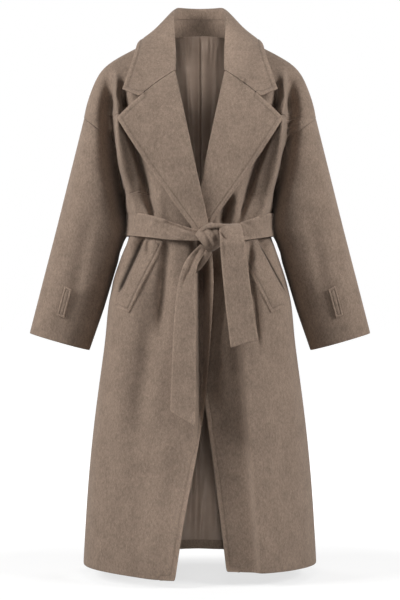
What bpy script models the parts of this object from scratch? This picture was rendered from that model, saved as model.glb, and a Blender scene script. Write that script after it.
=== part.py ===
"""A belted wool wrap coat, filled out as when it is worn, with nothing inside it.

Metres, +Z up. +X is the wearer's left, and the front of the coat faces -Y. The origin is the
middle of the neck opening, at the height where the shoulder seams reach the collar.
Angles are in degrees round the body: 0 is the centre front, 90 the wearer's left side,
180 the centre back and 270 (or -90) the wearer's right side.
"""

import math
from bisect import bisect_right
from collections import namedtuple

import bmesh
import bpy
from mathutils import Vector

# Cloth thicknesses and the gap that is left at a seam
SHELL = 0.0025
DOUBLED = 0.0035
BELT_CLOTH = 0.004
LINING_CLOTH = 0.001
SEAM = 0.0003

# Levels on the body
NECK_TOP = 0.017
NAPE_RISE = 0.007
GORGE_Z = -0.070
SHOULDER_DROP_Z = -0.158
UNDERARM_Z = -0.325
BREAK_Z = -0.405
HEM_Z = -1.085

# The body as level rings: its outline from the front, and from the side to front and back
Ring = namedtuple("Ring", "z half_width front back square")
BODY_RINGS = (
    Ring(0.024, 0.066, 0.012, 0.085, 2.0),
    Ring(0.017, 0.078, 0.018, 0.089, 2.0),
    Ring(0.000, 0.110, 0.031, 0.098, 2.1),
    Ring(-0.024, 0.157, 0.043, 0.107, 2.2),
    Ring(-0.045, 0.193, 0.055, 0.114, 2.3),
    Ring(-0.068, 0.214, 0.070, 0.119, 2.4),
    Ring(-0.110, 0.231, 0.096, 0.126, 2.5),
    Ring(-0.158, 0.2435, 0.118, 0.131, 2.5),
    Ring(-0.180, 0.2425, 0.126, 0.132, 2.5),
    Ring(-0.205, 0.226, 0.132, 0.132, 2.5),
    Ring(-0.235, 0.199, 0.137, 0.131, 2.5),
    Ring(-0.265, 0.178, 0.140, 0.129, 2.5),
    Ring(-0.295, 0.163, 0.140, 0.125, 2.5),
    Ring(-0.325, 0.154, 0.137, 0.119, 2.5),
    Ring(-0.360, 0.147, 0.129, 0.109, 2.5),
    Ring(-0.395, 0.147, 0.127, 0.106, 2.5),
    Ring(-0.430, 0.155, 0.133, 0.113, 2.6),
    Ring(-0.480, 0.170, 0.146, 0.127, 3.0),
    Ring(-0.540, 0.1845, 0.157, 0.138, 3.3),
    Ring(-0.650, 0.201, 0.172, 0.147, 3.1),
    Ring(-0.750, 0.215, 0.184, 0.152, 2.9),
    Ring(-0.850, 0.227, 0.194, 0.156, 2.7),
    Ring(-0.975, 0.237, 0.203, 0.159, 2.6),
    Ring(-1.085, 0.243, 0.208, 0.161, 2.6),
)

# Folds that stand out of the body (depth over 0) or sink into it, each along a sloping line
Fold = namedtuple(
    "Fold",
    "z_top z_mid z_end angle_top angle_mid angle_end depth low_side high_side end_share",
)
FOLDS = (
    # drape folds that hang from the shoulder points to the belt, before each armhole
    Fold(-0.055, -0.235, -0.376, 68, 55, 73, 0.023, 15, 3.6, 0.0),
    Fold(-0.055, -0.225, -0.376, -67, -55, -73, 0.024, 3.6, 15, 0.0),
    # hollows between those folds and the lapels
    Fold(-0.160, -0.320, -0.380, 46, 43, 40, -0.013, 8, 8, 0.0),
    Fold(-0.160, -0.310, -0.380, -48, -44, -41, -0.014, 8, 8, 0.0),
    # tucks that leave the belt downwards, outside the pockets
    Fold(-0.412, -0.465, -0.600, 60, 68, 78, -0.006, 8, 8, 0.0),
    Fold(-0.412, -0.460, -0.600, -60, -68, -78, -0.007, 8, 8, 0.0),
    # front skirt: a hollow by each front edge and the long fold of the wearer's left front
    Fold(-0.420, -0.500, -0.760, -20, -21, -24, -0.008, 9, 9, 0.0),
    Fold(-0.500, -0.780, -1.200, 25, 28, 31, 0.016, 8, 12, 0.8),
    Fold(-0.560, -0.900, -1.200, 60, 58, 57, -0.005, 12, 12, 0.9),
    Fold(-0.560, -0.900, -1.200, -40, -38, -36, -0.005, 10, 11, 0.8),
    Fold(-0.560, -0.950, -1.200, -66, -64, -63, 0.005, 11, 10, 0.8),
    # back: gathers above the belt, and the long folds below it
    Fold(-0.180, -0.315, -0.378, 150, 152, 155, -0.008, 8, 7, 0.0),
    Fold(-0.200, -0.320, -0.378, 176, 175, 174, -0.006, 7, 8, 0.0),
    Fold(-0.170, -0.310, -0.378, 207, 206, 203, -0.008, 8, 8, 0.0),
    Fold(-0.405, -0.620, -1.200, 152, 150, 148, -0.010, 9, 8, 0.7),
    Fold(-0.405, -0.700, -1.200, 178, 179, 181, 0.010, 9, 9, 0.9),
    Fold(-0.405, -0.600, -1.200, 206, 209, 212, -0.011, 8, 9, 0.7),
    Fold(-0.405, -0.760, -1.200, 236, 237, 238, 0.008, 9, 9, 0.8),
    Fold(-0.405, -0.740, -1.200, 122, 121, 120, 0.008, 9, 9, 0.8),
)

# Front edges, as distances past the centre on the panel's own side (below 0 is the overlap).
# "over" is the wearer's right front, which laps over the left one, "under".
Edge = namedtuple("Edge", "z over under")
FRONT_EDGES = (
    Edge(0.017, 0.0735, 0.0735),
    Edge(0.000, 0.0675, 0.0675),
    Edge(-0.030, 0.0585, 0.0585),
    Edge(-0.070, 0.0500, 0.0500),
    Edge(-0.180, 0.0267, 0.0265),
    Edge(-0.290, 0.0034, 0.0031),
    Edge(-0.405, -0.0210, -0.0215),
    Edge(-0.440, -0.0243, -0.0260),
    Edge(-0.500, -0.0280, -0.0210),
    Edge(-0.604, -0.0220, -0.0100),
    Edge(-0.732, -0.0120, 0.0080),
    Edge(-0.800, -0.0034, 0.0170),
    Edge(-0.934, 0.0260, 0.0350),
    Edge(-1.096, 0.0514, 0.0545),
)

# How far the under front is tucked in behind the over front
Tuck = namedtuple("Tuck", "z depth")
UNDER_TUCKS = (
    Tuck(-0.100, 0.000),
    Tuck(-0.200, 0.006),
    Tuck(-0.270, 0.012),
    Tuck(-0.430, 0.012),
    Tuck(-0.540, 0.009),
    Tuck(-0.760, 0.010),
    Tuck(-1.085, 0.020),
)
TUCK_FULL_DEG = 16
TUCK_END_DEG = 50

# The lower part of the over front: its edge kicks forward and its corner hangs lower
OVER_KICK = 0.014
KICK_START_Z = -0.70
KICK_MIDDLE_DEG = 12
KICK_WIDTH_DEG = 28
OVER_CORNER_DROP = 0.011
CORNER_START_Z = -0.60
CORNER_FULL_DEG = 10
CORNER_FADE_DEG = 60

# Armholes: how far each one is cut into the front and the back
ARMHOLE_CUT_FRONT = 30
ARMHOLE_CUT_BACK = 28
ARMHOLE_ROUNDING = 0.6

# Sleeves, as rings from the dropped armhole to the cuff, for the wearer's left
SleeveRing = namedtuple("SleeveRing", "along outer_x outer_z inner_x inner_z depth y")
SLEEVE_RINGS = (
    SleeveRing(0.00, 0.2435, -0.158, 0.1540, -0.325, 0.076, 0.000),
    SleeveRing(0.25, 0.2720, -0.271, 0.1580, -0.390, 0.079, 0.006),
    SleeveRing(0.50, 0.3000, -0.3835, 0.1810, -0.473, 0.073, 0.006),
    SleeveRing(0.75, 0.3287, -0.496, 0.2065, -0.560, 0.063, 0.000),
    SleeveRing(1.00, 0.3570, -0.609, 0.2320, -0.645, 0.053, -0.008),
)
SLEEVE_SQUARE = 2.2
ARMHOLE_BLEND = 0.30
ARMHOLE_GAP = 1.5 * SEAM
UNDERARM_GAP = 3 * SEAM

# Lapel: front outline on its own side, and the fold at the roll line
LAPEL_TIP = (0.165, -0.174)
LAPEL_FOOT = (0.008, -0.405)
LAPEL_TOP_BEND = 0.0070
LAPEL_CLOTH = 0.003
ROLL_INNER_RADIUS = 0.002
ROLL_RADIUS = ROLL_INNER_RADIUS + LAPEL_CLOTH
ROLL_SHARE = 0.25
SET_BACK = ROLL_RADIUS + 3 * SEAM
SET_BACK_LEAD = 0.040
SET_BACK_FADE = 0.020
BREAK_FADE = 0.010
LAPEL_TIP_LIFT = 0.013
NOTCH_X = 0.122
COLLAR_POINT = (0.156, -0.114)

# Collar, from the nape (along 0) to the gorge seam (along 1): the roll line and the outer edge
CollarStation = namedtuple("CollarStation", "along roll_x roll_y roll_z edge_x edge_y edge_z")
COLLAR_STATIONS = (
    CollarStation(0.00, 0.0000, 0.079, 0.084, 0.000, 0.111, 0.000),
    CollarStation(0.28, 0.0460, 0.056, 0.083, 0.084, 0.088, -0.001),
    CollarStation(0.52, 0.0560, 0.006, 0.060, 0.119, 0.018, 0.007),
    CollarStation(0.78, 0.0535, -0.036, -0.006, 0.140, -0.061, -0.045),
    CollarStation(1.00, 0.0500, -0.064, -0.070, 0.156, -0.100, -0.114),
)
SHOULDER_ALONG = 0.52
STAND_END = 0.44
STAND_SHARE = 0.60
STAND_TAPER = (0.34, 0.58)
STAND_CLEAR = 4 * SEAM
STAND_CLEAR_FADE = 0.1
STAND_SINK = 0.002
STAND_GAP = 2 * SEAM
COLLAR_ROLL = 0.007
COLLAR_SPRING = 0.016
COLLAR_ROLL_SHARE = 0.30
NOTCH_SHARE = 0.76
GORGE_BLEND = 0.80

# The gap of the gorge seam, square to it, on the wearer's left
GORGE_GAP_X = 2.2 * SEAM
GORGE_GAP_Z = 2.85 * SEAM

# Belt: height, width and the way it is drawn together towards the knot
BELT_Z = -0.3815
BELT_SAG = 0.0305
BELT_SAG_DEG = 42
BELT_HALF = 0.0245
BELT_GATHER = 0.0115
BELT_GATHER_DEG = 36
BELT_LIFT = 0.0020
BELT_FRONT_LIFT = 0.0100
BELT_FRONT_DEG = 24
BELT_BOW = 0.0010
KNOT_DEG = 6
BELT_START_DEG = 21.8
BELT_END_DEG = 356.3

# Knot: the wrap goes round the belt that passes through it, up to the wearer's left
KNOT_CENTRE = Vector((0.0205, -0.1545, -0.414))
KNOT_AXIS = Vector((0.81, 0.0, 0.586))
KNOT_WRAP = Vector((0.586, 0.0, -0.81))
KNOT_WIDTH = 0.040
KNOT_TALL = 0.0225
KNOT_DEEP = 0.0155
KNOT_ROUNDING = 0.18
KNOT_CLOTH = 0.005

# Free ends of the belt: the line down the middle of each, and half its width
TailRow = namedtuple("TailRow", "x y z half slant")
TAIL_LEFT = (
    TailRow(0.0425, -0.1490, -0.3985, 0.0070, 0.000),
    TailRow(0.0510, -0.1525, -0.3910, 0.0150, 0.000),
    TailRow(0.0570, -0.1600, -0.3865, 0.0210, 0.000),
    TailRow(0.0605, -0.1726, -0.3920, 0.0225, 0.000),
    TailRow(0.0625, -0.1771, -0.4080, 0.0235, 0.001),
    TailRow(0.0670, -0.1775, -0.4500, 0.0255, 0.002),
    TailRow(0.0755, -0.1790, -0.5300, 0.0265, 0.003),
    TailRow(0.0885, -0.1820, -0.6270, 0.0275, 0.008),
)
TAIL_RIGHT = (
    TailRow(0.0088, -0.1518, -0.4315, 0.0080, -0.004),
    TailRow(-0.0050, -0.1550, -0.4480, 0.0110, -0.004),
    TailRow(-0.0180, -0.1600, -0.4680, 0.0125, -0.004),
    TailRow(-0.0265, -0.1660, -0.5100, 0.0175, -0.003),
    TailRow(-0.0305, -0.1785, -0.6000, 0.0225, -0.002),
    TailRow(-0.0325, -0.1890, -0.6900, 0.0240, -0.004),
    TailRow(-0.0345, -0.1980, -0.7750, 0.0250, -0.015),
)
TAIL_BOW = 0.0015

# Welt pocket corners on the wearer's left front: angle and height
WeltCorner = namedtuple("WeltCorner", "angle z")
WELT_TOP_INNER = WeltCorner(30.2, -0.4230)
WELT_TOP_OUTER = WeltCorner(47.6, -0.4182)
WELT_LOW_INNER = WeltCorner(46.0, -0.5660)
WELT_LOW_OUTER = WeltCorner(60.5, -0.5490)
WELT_LIFT = 0.0022

# Sleeve tab: place round and along the sleeve, and its arch between the two sewn ends
TAB_ROUND_DEG = (77.7, 90.3)
TAB_ALONG = (0.727, 0.873)
TAB_ARCH = 0.0015

# Lining and turned-up hem of the back, which show inside the neck and between the fronts
LINING_GAP = 0.0031
LINING_TOP_Z = 0.012
LINING_END_Z = -1.064
LINING_RISE_Z = -0.02
LINING_RISE = 0.03
LINING_FADE_IN = 0.05
LINING_FADE_OUT = 0.12
PLEAT_DEG = 1.8
LiningFold = namedtuple("LiningFold", "angle width depth z_top z_end")
LINING_FOLDS = (
    LiningFold(180.0, PLEAT_DEG, 0.0060, 0.030, -1.30),
    LiningFold(173.0, 2.6, 0.0040, 0.000, -0.50),
    LiningFold(187.5, 2.8, 0.0045, 0.000, -0.55),
    LiningFold(166.0, 2.4, 0.0035, 0.010, -0.40),
    LiningFold(195.0, 2.6, 0.0035, 0.010, -0.42),
    LiningFold(171.5, 3.0, 0.0050, -0.70, -1.30),
    LiningFold(189.0, 3.0, 0.0050, -0.74, -1.30),
)
HEM_TURN = 0.038
HEM_LIFT = 0.0005
HEM_GAP = 2 * SEAM
HEM_CLOTH = 0.002

# Mesh density
ARM_STEPS = 12
ROLL_STEPS = 4
LAPEL_STEPS = 9
TAB_STEPS = (3, 6)
WELT_STEPS = (4, 9)
BELT_STEPS = (44, 4)
KNOT_STEPS = (24, 6)
TAIL_STEPS = (4, 3)
SLEEVE_STEPS = (0.0, 0.03, 0.075, 0.14, 0.22, 0.31, 0.42, 0.54, 0.66, 0.78, 0.89, 1.0)
UPPER_LEVELS = (0.016, 0.000, -0.018, -0.035, -0.051, GORGE_Z, -0.100, -0.130)
LOWER_LEVELS = (
    -0.345, -0.362, -0.382, BREAK_Z, -0.418, -0.438, -0.470, -0.510,
    -0.560, -0.625, -0.700, -0.785, -0.875, -0.960, -1.030, -1.085,
)
GORGE_STEPS = 4
COLLAR_STEPS = (0.06, 0.13, 0.20, 0.28, 0.36, 0.44, 0.52, 0.60, 0.68, 0.76, 0.84, 0.92, 1.0)
FRONT_COLUMNS = (0.0, 0.06, 0.15, 0.27, 0.39, 0.51, 0.62, 0.71, 0.79, 0.86, 0.91, 0.955, 1.0)
BACK_COLUMNS = (
    0.0, 0.06, 0.12, 0.18, 0.24, 0.30, 0.36, 0.42, 0.455, 0.475, 0.4875, 0.5,
    0.5125, 0.525, 0.545, 0.58, 0.64, 0.70, 0.76, 0.82, 0.88, 0.94, 1.0,
)
LINING_LEVELS = (
    -1.030, -0.960, -0.875, -0.785, -0.700, -0.625, -0.560, -0.510, -0.470, -0.438, -0.416,
    -0.398, -0.380, -0.362, -0.345, -0.325, -0.2415, -0.158, -0.106, -0.056, -0.018,
)

# Steps for measuring a surface's slope: degrees, metres and shares, and the search for an angle
NEAR_DEG = 0.2
NEAR_Z = 0.001
WIDE_DEG = 0.5
WIDE_Z = 0.004
SLEEVE_DEG = 1.0
SLEEVE_STEP = 0.002
SHARE_STEP = 0.001
COLLAR_STEP = 0.002
FRONT_REACH_DEG = (-60.0, 88.0)
HALVINGS = 40
SHARP_DEG = 50

WOOL = ((0.246, 0.187, 0.145), 0.92)
LINING_COLOUR = ((0.168, 0.126, 0.098), 0.45)


def clear_scene():
    for obj in list(bpy.data.objects):
        bpy.data.objects.remove(obj)


def material(name, colour, roughness):
    made = bpy.data.materials.new(name)
    made.use_nodes = True
    shader = made.node_tree.nodes["Principled BSDF"]
    shader.inputs["Base Color"].default_value = (*colour, 1.0)
    shader.inputs["Roughness"].default_value = roughness
    shader.inputs["Metallic"].default_value = 0.0
    return made


def smoothstep(x):
    x = min(1.0, max(0.0, x))
    return x * x * (3 - 2 * x)


def spread(start, end, count):
    """Evenly spaced values from start to end, count + 1 of them."""
    return [start + (end - start) * i / count for i in range(count + 1)]


class Curve:
    """A smooth line through a table's rows that never overshoots them."""

    def __init__(self, keys, values):
        order = sorted(range(len(keys)), key=lambda i: keys[i])
        self.keys = [keys[i] for i in order]
        self.values = [values[i] for i in order]
        steps = [b - a for a, b in zip(self.keys, self.keys[1:])]
        slopes = [(b - a) / h for a, b, h in zip(self.values, self.values[1:], steps)]
        self.tangents = [slopes[0]]
        for before, after, left, right in zip(slopes, slopes[1:], steps, steps[1:]):
            if before * after <= 0:
                self.tangents.append(0.0)
            else:
                near, far = 2 * right + left, right + 2 * left
                self.tangents.append((near + far) / (near / before + far / after))
        self.tangents.append(slopes[-1])

    def __call__(self, key):
        key = min(self.keys[-1], max(self.keys[0], key))
        i = min(len(self.keys) - 2, max(0, bisect_right(self.keys, key) - 1))
        step = self.keys[i + 1] - self.keys[i]
        t = (key - self.keys[i]) / step
        start = (1 + 2 * t) * (1 - t) ** 2 * self.values[i]
        end = t * t * (3 - 2 * t) * self.values[i + 1]
        lean_in = t * (1 - t) ** 2 * step * self.tangents[i]
        lean_out = t * t * (t - 1) * step * self.tangents[i + 1]
        return start + end + lean_in + lean_out


def curves(rows, key):
    """One Curve for each column of a table, by the column's name."""
    keys = [getattr(row, key) for row in rows]
    names = [name for name in rows[0]._fields if name != key]
    return {name: Curve(keys, [getattr(row, name) for row in rows]) for name in names}


RINGS = curves(BODY_RINGS, "z")
EDGES = curves(FRONT_EDGES, "z")
TUCKS = curves(UNDER_TUCKS, "z")
SLEEVE = curves(SLEEVE_RINGS, "along")


def square_to(face, u, v, u_step, v_step, flip):
    """The direction square to face at (u, v)."""
    across = face(u + u_step, v) - face(u - u_step, v)
    along = face(u, v + v_step) - face(u, v - v_step)
    return across.cross(along).normalized() * (-1 if flip else 1)


def cloth(name, face, columns, rows, thickness, finish, closed=False, flip=False, normal=None):
    """A closed wall: face(u, v) is its outer side, and its inner side lies thickness behind.

    Both sides are cut into triangles along the same diagonals, so that the wall stays even where
    its faces are not flat.
    """
    u_step = abs(columns[-1] - columns[0]) * SHARE_STEP
    v_step = abs(rows[-1] - rows[0]) * SHARE_STEP
    if normal is None:

        def normal(u, v):
            return square_to(face, u, v, u_step, v_step, flip)

    mesh = bpy.data.meshes.new(name)
    shape = bmesh.new()
    outer = [[shape.verts.new(face(u, v)) for u in columns] for v in rows]
    inner = [
        [shape.verts.new(face(u, v) - normal(u, v) * thickness) for u in columns] for v in rows
    ]
    across = len(columns)
    along = len(rows)
    pairs = [(i, (i + 1) % across) for i in range(across if closed else across - 1)]

    def side(*corners):
        shape.faces.new(tuple(reversed(corners)) if flip else corners)

    for j in range(along - 1):
        for i, k in pairs:
            ring = [(j, i), (j, k), (j + 1, k), (j + 1, i)]
            a, b, c, d = ring[1:] + ring[:1] if flip else ring
            for corners in ((a, b, c), (a, c, d)):
                side(*(outer[row][column] for row, column in corners))
                side(*(inner[row][column] for row, column in reversed(corners)))
    last = along - 1
    for i, k in pairs:
        side(inner[0][i], inner[0][k], outer[0][k], outer[0][i])
        side(outer[last][i], outer[last][k], inner[last][k], inner[last][i])
    if not closed:
        last = across - 1
        for j in range(along - 1):
            side(outer[j][0], outer[j + 1][0], inner[j + 1][0], inner[j][0])
            side(inner[j][last], inner[j + 1][last], outer[j + 1][last], outer[j][last])
    shape.to_mesh(mesh)
    shape.free()
    mesh.materials.append(finish)
    mesh.shade_smooth()
    mesh.set_sharp_from_angle(angle=math.radians(SHARP_DEG))
    obj = bpy.data.objects.new(name, mesh)
    bpy.context.scene.collection.objects.link(obj)
    return obj


# The body's surface


def fold_depth(angle, z):
    depth = 0.0
    for fold in FOLDS:
        if not fold.z_end < z < fold.z_top:
            continue
        if z > fold.z_mid:
            share = (fold.z_top - z) / (fold.z_top - fold.z_mid)
            middle = fold.angle_top + (fold.angle_mid - fold.angle_top) * share
            strength = smoothstep(share)
        else:
            share = (fold.z_mid - z) / (fold.z_mid - fold.z_end)
            middle = fold.angle_mid + (fold.angle_end - fold.angle_mid) * share
            strength = 1 - (1 - fold.end_share) * smoothstep(share)
        away = (angle - middle + 180) % 360 - 180
        width = fold.low_side if away < 0 else fold.high_side
        depth += fold.depth * strength * math.exp(-((away / width) ** 2))
    return depth


def body_radius(angle, z, folded=True):
    turn = math.radians(angle)
    deep = RINGS["front"](z) if math.cos(turn) > 0 else RINGS["back"](z)
    square = RINGS["square"](z)
    across = abs(math.sin(turn) / RINGS["half_width"](z)) ** square
    along = abs(math.cos(turn) / deep) ** square
    return (across + along) ** (-1 / square) + (fold_depth(angle, z) if folded else 0.0)


def at_angle(angle, radius, z):
    turn = math.radians(angle)
    return Vector((radius * math.sin(turn), -radius * math.cos(turn), z))


def body_point(angle, z):
    return at_angle(angle, body_radius(angle, z), z)


def body_normal(angle, z):
    across = body_point(angle + NEAR_DEG, z) - body_point(angle - NEAR_DEG, z)
    along = body_point(angle, z + NEAR_Z) - body_point(angle, z - NEAR_Z)
    return across.cross(along).normalized()


def arm_angle(z, cut):
    """The angle on its own side where a panel ends: at the armhole, or at the side seam."""
    share = (SHOULDER_DROP_Z - z) / (SHOULDER_DROP_Z - UNDERARM_Z)
    if not 0 < share < 1:
        return 90.0
    return 90.0 - cut * math.sin(math.pi * share) ** ARMHOLE_ROUNDING


def seam_angle(z):
    """Half of the seam's gap, as an angle at the side of the body."""
    return math.degrees(SEAM / 2 / RINGS["half_width"](z))


def neck_height(angle):
    """The height of the neck seam, which rises from the shoulders to the nape."""
    return NECK_TOP + NAPE_RISE * math.cos(math.radians(180 - angle)) ** 2


# Fronts


def front_shift(side, angle, z):
    """How far a front stands out from the body's surface, at an angle on its own side."""
    if side > 0:
        share = (angle - TUCK_FULL_DEG) / (TUCK_END_DEG - TUCK_FULL_DEG)
        return -TUCKS["depth"](z) * (1 - smoothstep(share))
    kick = smoothstep((KICK_START_Z - z) / (KICK_START_Z - HEM_Z))
    return OVER_KICK * kick * math.exp(-((angle - KICK_MIDDLE_DEG) / KICK_WIDTH_DEG) ** 2)


def on_front(side, angle, z, lift=0.0):
    """A point of a front, at an angle on its own side, moved out by lift."""
    radius = body_radius(side * angle, z) + front_shift(side, angle, z)
    return at_angle(side * angle, radius + lift, z)


def front_angle(side, x, z):
    """The angle on its own side where a front is x from the centre."""
    low, high = FRONT_REACH_DEG
    for _ in range(HALVINGS):
        middle = (low + high) / 2
        if side * on_front(side, middle, z).x < x:
            low = middle
        else:
            high = middle
    return (low + high) / 2


def edge_x(side, z):
    return EDGES["under" if side > 0 else "over"](z)


def panel_edge(side, z):
    """The inner edge of a front, set back from the roll line where the lapel folds over."""
    above = smoothstep((GORGE_Z + SET_BACK_LEAD - z) / SET_BACK_FADE)
    folds = above * smoothstep((z - BREAK_Z + BREAK_FADE) / BREAK_FADE)
    return edge_x(side, z) + SET_BACK * folds


def hem_drop(side, angle, z):
    """The lower corner of the over front hangs a little below the rest of the hem."""
    if side > 0:
        return 0.0
    below = smoothstep((CORNER_START_Z - z) / (CORNER_START_Z - HEM_Z))
    fade = smoothstep((angle - CORNER_FULL_DEG) / CORNER_FADE_DEG)
    return -OVER_CORNER_DROP * below * (1 - fade)


def front_face(side):
    inner = {}

    def face(share, z):
        if z not in inner:
            inner[z] = front_angle(side, panel_edge(side, z), z)
        outer = arm_angle(z, ARMHOLE_CUT_FRONT) - seam_angle(z)
        angle = inner[z] + (outer - inner[z]) * (share if side > 0 else 1 - share)
        point = on_front(side, angle, z)
        point.z += hem_drop(side, angle, z)
        return point

    return face


def arm_levels():
    """Heights down the armhole, spaced as the points round the sleeve's first ring."""
    turns = spread(0, math.pi, ARM_STEPS)
    deep = SHOULDER_DROP_Z - UNDERARM_Z
    return [SHOULDER_DROP_Z - deep * (1 - math.cos(turn)) / 2 for turn in turns]


def body_levels():
    return [*reversed(LOWER_LEVELS), *reversed(arm_levels()), *reversed(UPPER_LEVELS)]


def make_front(name, side, wool):
    columns = FRONT_COLUMNS if side > 0 else [1 - x for x in reversed(FRONT_COLUMNS)]
    return cloth(name, front_face(side), columns, body_levels(), SHELL, wool)


# Back


def back_angle(share, z):
    """share runs from the wearer's left edge of the back (0) to the right one (1)."""
    half = arm_angle(z, ARMHOLE_CUT_BACK) - seam_angle(z)
    return 180 - half + 2 * half * share


def back_face(share, z):
    angle = back_angle(share, min(z, NECK_TOP))
    rise = (neck_height(angle) - NECK_TOP) * smoothstep((z - UPPER_LEVELS[1]) / UPPER_LEVELS[0])
    return body_point(angle, z + rise)


def make_back(name, wool):
    return cloth(name, back_face, BACK_COLUMNS, body_levels(), SHELL, wool)


# Sleeves


def armhole_place(side, turn):
    """The body's angle and height at a turn round the armhole: 0 on top, 90 in front."""
    deep = SHOULDER_DROP_Z - UNDERARM_Z
    z = SHOULDER_DROP_Z - deep * (1 - math.cos(math.radians(turn))) / 2
    if turn % 360 <= 180:
        return side * arm_angle(z, ARMHOLE_CUT_FRONT), z
    return side * (180 - arm_angle(z, ARMHOLE_CUT_BACK)), z


def sleeve_oval(side, turn, along):
    ring = {name: curve(along) for name, curve in SLEEVE.items()}
    outer = Vector((side * ring["outer_x"], ring["y"], ring["outer_z"]))
    inner = Vector((side * ring["inner_x"], ring["y"], ring["inner_z"]))
    across = math.cos(math.radians(turn))
    ahead = math.sin(math.radians(turn))
    size = (abs(across) ** SLEEVE_SQUARE + abs(ahead) ** SLEEVE_SQUARE) ** (-1 / SLEEVE_SQUARE)
    forward = Vector((0, -ring["depth"] * ahead * size, 0))
    return (outer + inner) / 2 + (outer - inner) / 2 * across * size + forward


def sleeve_seam(side, turn):
    """The sleeve's edge, a seam's gap inside the armhole and, below, outside the body."""
    angle, z = armhole_place(side, turn)
    edge = body_point(angle, z)
    square = body_normal(angle, z)
    into = (sleeve_oval(side, 0, 0) + sleeve_oval(side, 180, 0)) / 2 - edge
    into = (into - square * into.dot(square)).normalized()
    below = smoothstep(-math.cos(math.radians(turn)))
    return edge + into * ARMHOLE_GAP + square * (UNDERARM_GAP * below)


def sleeve_point(side, turn, along):
    oval = sleeve_oval(side, turn, along)
    blend = smoothstep(along / ARMHOLE_BLEND)
    if blend >= 1:
        return oval
    return (sleeve_seam(side, turn) + oval - sleeve_oval(side, turn, 0)).lerp(oval, blend)


def sleeve_normal(side, turn, along):
    before = sleeve_point(side, turn - SLEEVE_DEG, along)
    after = sleeve_point(side, turn + SLEEVE_DEG, along)
    above = sleeve_point(side, turn, along - SLEEVE_STEP)
    below = sleeve_point(side, turn, along + SLEEVE_STEP)
    return (after - before).cross(below - above).normalized() * side


def make_sleeve(name, side, wool):
    turns = [i * 180 / ARM_STEPS for i in range(2 * ARM_STEPS)]
    return cloth(
        name,
        lambda turn, along: sleeve_point(side, turn, along),
        turns,
        SLEEVE_STEPS,
        SHELL,
        wool,
        closed=True,
        flip=side < 0,
        normal=lambda turn, along: sleeve_normal(side, turn, along),
    )


def make_tab(name, side, wool):
    """The little strap near the cuff, sewn down at both of its ends."""

    def face(turn, along):
        middle = (along - TAB_ALONG[0]) / (TAB_ALONG[1] - TAB_ALONG[0])
        lift = SEAM + DOUBLED + TAB_ARCH * max(0.0, math.sin(math.pi * middle))
        return sleeve_point(side, turn, along) + sleeve_normal(side, turn, along) * lift

    turns = spread(*TAB_ROUND_DEG, TAB_STEPS[0])
    alongs = spread(*TAB_ALONG, TAB_STEPS[1])
    return cloth(name, face, turns, alongs, DOUBLED, wool, flip=side < 0)


# Lapels


def lapel_place(side, along, across):
    """Front view place of a lapel point: along the roll line, and across in metres from it."""
    z = GORGE_Z + (BREAK_Z - GORGE_Z) * along
    root = Vector((edge_x(side, z), z))
    edge = Vector(LAPEL_TIP).lerp(Vector(LAPEL_FOOT), along)
    width = (edge - root).length
    share = across / width
    bend = LAPEL_TOP_BEND * max(0.0, 1 - along) ** 4 * 4 * max(0.0, share * (1 - share))
    place = root + (edge - root) * share + Vector((0, bend))
    return place, width


def lapel_profile(share, width, along):
    """How far across and how high the lapel's face is: round the roll, then out to its edge."""
    if share < ROLL_SHARE:
        turn = math.pi * (share / ROLL_SHARE - 0.5)
        across = ROLL_RADIUS * (1 - math.cos(turn))
        return across, ROLL_INNER_RADIUS + ROLL_RADIUS * math.sin(turn)
    out = (share - ROLL_SHARE) / (1 - ROLL_SHARE)
    flat = ROLL_INNER_RADIUS + ROLL_RADIUS
    lift = flat + (LAPEL_TIP_LIFT - flat) * (1 - along) * out
    return ROLL_RADIUS + (width - ROLL_RADIUS) * out, lift


def lapel_face(side, along, share):
    _, width = lapel_place(side, along, 0.0)
    across, lift = lapel_profile(share, width, along)
    place, _ = lapel_place(side, along, across)
    angle = front_angle(side, place.x, place.y)
    base = on_front(side, angle, place.y)
    return base + flat_normal(side * angle, place.y) * lift


def flat_normal(angle, z):
    """Square to the body's surface with its folds smoothed away."""

    def point(a, h):
        return at_angle(a, body_radius(a, h, folded=False), h)

    across = point(angle + WIDE_DEG, z) - point(angle - WIDE_DEG, z)
    along = point(angle, z + WIDE_Z) - point(angle, z - WIDE_Z)
    return across.cross(along).normalized()


def lapel_normal(side, share, along):
    def face(u, v):
        return lapel_face(side, v, u)

    return square_to(face, share, along, SHARE_STEP, SHARE_STEP, side > 0)


def make_lapel(name, side, wool):
    notch = notch_share(side)
    rolls = spread(0, ROLL_SHARE, ROLL_STEPS)
    flats = spread(ROLL_SHARE, notch, GORGE_STEPS)[1:] + spread(notch, 1, 2)[1:]
    return cloth(
        name,
        lambda share, along: lapel_face(side, along, share),
        rolls + flats,
        spread(0, 1, LAPEL_STEPS),
        LAPEL_CLOTH,
        wool,
        flip=side > 0,
    )


# Collar


def collar_curves():
    mirrored = [
        CollarStation(-s.along, -s.roll_x, s.roll_y, s.roll_z, -s.edge_x, s.edge_y, s.edge_z)
        for s in COLLAR_STATIONS[1:]
    ]
    return curves([*mirrored, *COLLAR_STATIONS], "along")


COLLAR = collar_curves()


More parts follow.
